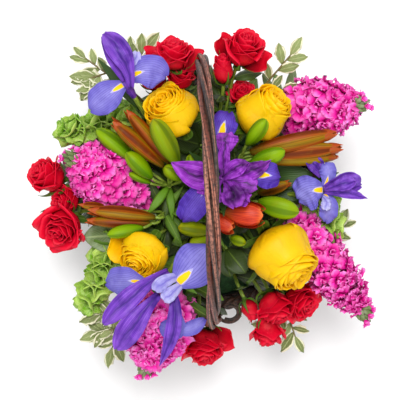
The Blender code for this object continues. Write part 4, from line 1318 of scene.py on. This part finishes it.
def makeStock(node, values):
    draw = np.random.default_rng(int(values["spin"] * 10) + 3)
    low, high = spot(values["low"]), spot(values["high"])
    facing = unit(high - low)
    axes = aim(facing)
    florets = [floretShape(draw) for k in range(5)]
    skin = Skin()
    count = values["florets"]
    for k in range(count):
        share = (k + 0.5) / count
        a = values["spin"] + golden * k
        out = around(axes, a)
        width = outline(spikeProfile, np.array([share]))[0] * values["radius"] * mm
        size = draw.uniform(0.85, 1.15) * (1.15 - 0.35 * share) * (values["radius"] / 30) ** 0.5
        centre = low + (high - low) * share + out * (width - 7 * size * mm) * draw.uniform(0.85, 1.0)
        faces = out * (1.1 - 0.6 * share) + facing * (0.15 + 0.8 * share) + draw.uniform(-0.25, 0.25, 3)
        faces = faces + np.array([0, 0, values.get("lift", 0.0)])
        grids = centre + (florets[k % 5] * size) @ aim(faces, draw.uniform(0, math.tau))
        # bright lifts the tones towards the paler pink: painted light for a stock in shade
        tones = draw.uniform(0.1, 0.95) + draw.uniform(-0.2, 0.2, len(grids)) + values.get("bright", 0.0)
        skin.add(grids, pinkPetal, np.clip(tones, 0, 1))
    greens = Skin()
    line = stemLine(node, low, facing)
    spine = np.concatenate([line[:-1], low + (high - low) * np.linspace(0, 1, 8)[:, None]])
    addStem(greens, spine, np.linspace(3.0, 1.6, len(spine)))
    for k in range(18):  # closed buds crowd the tip, some of them already showing colour
        a = golden * k
        out = around(axes, a)
        start = high - facing * 4 * mm + out * 2 * mm
        tip = start + unit(out * (1.1 - 0.06 * k) + facing) * (10 + 0.7 * k) * mm
        path = bezier([start, (start + tip) / 2 + out * 1 * mm, tip], 7)
        greens.addRod(path, np.array(stockBud) * mm, sageLeaf, draw.uniform(0.5, 1))
        if k % 3 == 0:
            way = unit(tip - start)
            for turn in (0, 2.1, 4.2):
                side = aim(way, turn)[0]
                lip = [tip + (way * ahead + side * aside) * mm for ahead, aside in ((-3, 0), (2, 2), (4, 5))]
                skin.add(petal(lip, 6 * mm, "floret", way, 4, 4, 0.2), pinkPetal, 0.8)
    piece = skin.build(f"{node}_florets", thickness=0.3 * mm)
    standFor(node)
    addLeaves(greens, line, "stock", draw)
    addLeaves(greens, line, "stockFiller", draw)
    finishGreens(greens, node)


for node, values in stocks.items():
    makeStock(node, values)
print("stocks ready")


# lilies

budProfile = [(0, 0.32), (0.12, 0.6), (0.4, 0.96), (0.62, 1), (0.85, 0.76), (0.96, 0.42), (1, 0.12)]


def addBud(skin, base, tip, radius, ripe, draw):
    # a swelling body with three ribs; a ripe bud's three lips just part at the tip
    way = tip - base
    v = np.linspace(0, 1, 18)
    body = bezier([base, base + way * 0.45 + skyward * 0.05 * np.linalg.norm(way), tip], 18)
    radii = outline(budProfile, v) * radius * mm
    skin.addRod(body, radii, lilyBud, ripe, 24, draw.uniform(0, 2), 3, 0.09)
    if ripe > 0.5:
        axes = aim(way)
        for lip in range(3):
            a = math.tau * lip / 3 + draw.uniform(-0.3, 0.3)
            out = around(axes, a)
            ahead = unit(way)
            foot = tip - ahead * 15 * mm + out * radius * 0.7 * mm
            swell = tip - ahead * 5 * mm + out * radius * 0.7 * mm
            lipTip = tip + ahead * draw.uniform(2, 6) * mm + out * radius * draw.uniform(0.1, 0.6) * mm
            skin.add(petal([foot, swell, lipTip], radius * 1.1 * mm, "lance", -out, 9, 5, 0.4), budLip)


def addOpenFlower(skin, values):
    # six overlapping petals that bow out and close again round the throat
    base, tip = spot(values["at"]), spot(values["tip"])
    way, length = unit(tip - base), np.linalg.norm(tip - base)
    axes = aim(way)
    for k in range(6):
        a = math.tau * k / 6
        out = around(axes, a)
        share, end = (1.0, 1.0) if k % 2 else (0.85, 0.92)
        reach = values["radius"] * mm * share
        bulge = out * reach * 1.3
        controls = [base + out * 2 * mm,
                    base + way * length * 0.35 + bulge,
                    base + way * length * 0.75 + bulge,
                    base + way * length * end + out * reach * 0.7]
        grid = petal(controls, values["petal"] * mm, "blunt", -out, 14, 9, 0.3, 0.5 * mm, 2, k)
        skin.add(grid, flamePetal)


def makeLily(node, values):
    draw = np.random.default_rng(len(node) + len(values["buds"]))
    top = spot(values["top"])
    line = stemLine(node, top, unit(top - rootOf(node)))
    skin, greens = Skin(), Skin()
    addStem(greens, line, 2.8)
    for k, (low, high, radius, ripe) in enumerate(values["buds"]):
        base, tip = spot(low), spot(high)
        start = line[-1] - (line[-1] - line[-3]) * 0.12 * k
        way = tip - base
        stalk = bezier([start, start + (base - start) * 0.6, base - way * 0.25, base + way * 0.02], 8)
        addStem(greens, stalk, 1.6)
        addBud(skin, base, tip, radius, ripe, draw)
    for flower in openFlowers.get(node, []):
        base, tip = spot(flower["at"]), spot(flower["tip"])
        addOpenFlower(skin, flower)
        ahead = unit(tip - base)
        stalk = bezier([line[-1], (line[-1] + base) / 2, base - ahead * 8 * mm, base + ahead * 3 * mm], 8)
        addStem(greens, stalk, 1.6)
    addLeaves(greens, line, "lily", draw)
    piece = skin.build(f"{node}_buds")
    standFor(node)
    finishGreens(greens, node)


for node, values in lilies.items():
    makeLily(node, values)
print("lilies ready")


# bells of Ireland: whorls of green calyces

def bellShape():
    # p(a, v): r = 0.2 + 0.8 sin(pi/2 v), wavier towards the rim, z = 0.75 v, with five soft points
    a = np.linspace(0, math.tau, 20, endpoint=False)
    v = np.linspace(0, 1, 7)[:, None]
    r = (0.2 + 0.8 * np.sin(math.pi / 2 * v)) * (1 + 0.1 * np.cos(5 * a) * v**2)
    z = 0.75 * v + 0.13 * np.cos(5 * a + 0.6) * v**4
    return np.stack([r * np.cos(a), r * np.sin(a), z], axis=-1)


bellSeed = [1.6, 1.8, 1.5, 0.4]  # radii along the seed case at a bell's heart


def makeBells(node, values):
    draw = np.random.default_rng(len(node) * 3)
    low, high = spot(values["low"]), spot(values["high"])
    facing = unit(high - low)
    axes = aim(facing)
    shape = bellShape()
    skin = Skin()
    for whorl in range(values["whorls"]):
        share = whorl / (values["whorls"] - 1)
        for k in range(5):
            a = math.tau * k / 5 + whorl * 0.7 + draw.uniform(-0.3, 0.3)
            out = around(axes, a)
            size = values["size"] * (1.0 - 0.3 * share) * draw.uniform(0.6, 1.2) * mm
            start = low + (high - low) * (share + draw.uniform(-0.08, 0.08)) + out * 3 * mm
            faces = out + facing * (0.3 + 0.6 * share) + draw.uniform(-0.35, 0.35, 3)
            skin.add(start + shape * size @ aim(faces), bellGreen, draw.uniform(0, 1), wrap=True)
            tip = start + unit(faces) * size * 0.4  # the small white flower's seed case at the heart
            seed = bezier([start, (start + tip) / 2, tip], 4)
            skin.addRod(seed, np.array(bellSeed) * mm, midLeaf, 0.8, 6)
    piece = skin.build(f"{node}_calyces", thickness=0.4 * mm)
    standFor(node)
    greens = Skin()
    line = stemLine(node, low, facing)
    spine = np.concatenate([line[:-1], low + (high - low) * np.linspace(0, 1.05, 6)[:, None]])
    addStem(greens, spine, 2.2)
    addLeaves(greens, spine, "bells", draw)
    addLeaves(greens, line, "bellsFiller", draw)
    finishGreens(greens, node)


for node, values in bells.items():
    makeBells(node, values)
print("bells ready")


# foliage

def makeSprig(node, values):
    # a woody twig with side shoots; broad waved leaves lie nearly level along them
    draw = np.random.default_rng(len(node) * 5)
    low, high = spot(values["low"]), spot(values["high"])
    facing = unit(high - low)
    line = stemLine(node, low, facing)
    twig = bezier([low, low + (high - low) * 0.5 + skyward * (5 * mm), high], 10)
    skin = Skin()
    addStem(skin, np.concatenate([line[:-1], twig]), np.linspace(1.7, 0.9, len(line) + 9), woodStem)
    side = unit(np.cross(facing, [0, 0, 1.0]))
    shoots = [twig]
    for k, sign in enumerate(values["branches"]):
        start = twig[1 + 2 * k]
        end = start + unit(facing * 0.7 + side * sign + skyward * 0.15) * (32 - 4 * k) * mm
        shoot = bezier([start, (start + end) / 2 + skyward * (3 * mm), end], 6)
        addStem(skin, shoot, 0.9, woodStem)
        shoots.append(shoot)
    for start, end in values.get("shoots", []):
        shoot = bezier([spot(start), (spot(start) + spot(end)) / 2 + skyward * (3 * mm), spot(end)], 6)
        addStem(skin, shoot, 0.9, woodStem)
        shoots.append(shoot)
    for shoot in shoots:
        along = unit(shoot[-1] - shoot[0])
        across = unit(np.cross(along, [0, 0, 1.0]))
        count = values["leaves"]
        for k in range(count):
            share = 0.35 + 0.65 * (k / (count - 1)) ** 0.7
            at = shoot[0] + (shoot[-1] - shoot[0]) * share
            sign = 1 if k % 2 else -1
            lean = 0.15 if k == count - 1 else draw.uniform(0.3, 1.8)
            way = unit(along + across * sign * lean + np.array([0, 0, draw.uniform(-0.1, 0.35)]))
            size = draw.uniform(19, 30) * mm
            tip = at + way * size + skyward * (-0.15 * size)
            up = skyward + draw.uniform(-0.5, 0.5, 3)
            middle = at + way * size * 0.5 + skyward * (size * 0.12)
            leaf = petal([at, middle, tip], size * 0.5, "oval", up, 10, 7, cup=draw.uniform(-0.4, 0.5),
                         ruffle=size * 0.08, waves=3.5, phase=draw.uniform(0, 6),
                         frill=size * 0.05, crumple=0.16)
            skin.add(leaf, creamLeaf, draw.uniform(0, 1))
    piece = skin.build(f"{node}_sprig", thickness=0.35 * mm)
    standFor(node)


leafFinishes = {
    "aspidistra_leaf_right": strapLeaf, "broad_leaf_top": darkLeaf,
    "broad_leaf_left": sageLeaf, "broad_leaf_front": darkLeaf,
}


def makeBroadLeaf(node, values):
    low, high = spot(values["low"]), spot(values["high"])
    way = high - low
    skin = Skin()
    addStem(skin, stemLine(node, low, unit(way)), 1.5)
    across = unit(np.cross(way, [0, 0, 1.0]))
    for k, (aside, turn, size) in enumerate(((0, 0, 1.0), (6, 0.35, 0.85), (-6, -0.4, 0.8))):
        out = way * math.cos(turn) + across * np.linalg.norm(way) * math.sin(turn)
        start = low - skyward * (4.0 * k) * mm + across * aside * mm
        middle = start + out * size * 0.5 + skyward * (9 * mm)
        grid = petal([low, middle, start + out * size], values["width"] * size * mm, "oval", skyward,
                     16, 9, 0.2, 0.8 * mm, 2, k)
        skin.add(grid, leafFinishes[node], 0.5 - 0.15 * k)
    piece = skin.build(f"{node}_blade", thickness=0.5 * mm)
    standFor(node)


for node, values in sprigs.items():
    makeSprig(node, values)
for node, values in broadLeaves.items():
    makeBroadLeaf(node, values)
print("foliage ready")


# studio

studio = {
    "height": 1.64, "aside": (-0.008, -0.00575), "lens": 109.5, "world": 0.7,
    "key": 55.0, "keyAt": (-0.06, 0.72, 2.7), "keySize": 1.1,
    "fill": 11.0, "fillAt": (0.1, -1.5, 1.9), "fillSize": 1.4,
}


def softLight(name, at, size, power):
    light = bpy.data.lights.new(name, "AREA")
    light.shape, light.size, light.energy = "DISK", size, power
    lamp = bpy.data.objects.new(name, light)
    lamp.location = at
    lamp.rotation_euler = (-Vector(at)).to_track_quat("-Z", "Y").to_euler()
    bpy.context.scene.collection.objects.link(lamp)


def makeStudio():
    floorMesh = bpy.data.meshes.new("floor")
    reach = 4.0
    corners = [(-reach, -reach, 0), (reach, -reach, 0), (reach, reach, 0), (-reach, reach, 0)]
    floorMesh.from_pydata(corners, [], [(0, 1, 2, 3)])
    floor = bpy.data.objects.new("floor", floorMesh)
    bpy.context.scene.collection.objects.link(floor)
    f = Finish("floor_white", 0.9)
    white = f.mix(f.noise(f.place(), 3.0), (0.94, 0.94, 0.94, 1), (0.96, 0.96, 0.96, 1))
    floorMesh.materials.append(f.done(white))
    world = bpy.data.worlds.new("studio")
    world.use_nodes = True
    world.node_tree.nodes["Background"].inputs["Color"].default_value = (1, 1, 1, 1)
    world.node_tree.nodes["Background"].inputs["Strength"].default_value = studio["world"]
    bpy.context.scene.world = world
    softLight("key", studio["keyAt"], studio["keySize"], studio["key"])
    softLight("fill", studio["fillAt"], studio["fillSize"], studio["fill"])
    camera = bpy.data.objects.new("camera", bpy.data.cameras.new("camera"))
    camera.data.lens = studio["lens"]
    camera.location = (*studio["aside"], studio["height"])
    bpy.context.scene.collection.objects.link(camera)
    bpy.context.scene.camera = camera
    bpy.context.scene.view_settings.view_transform = "Standard"


makeStudio()
print("studio ready")
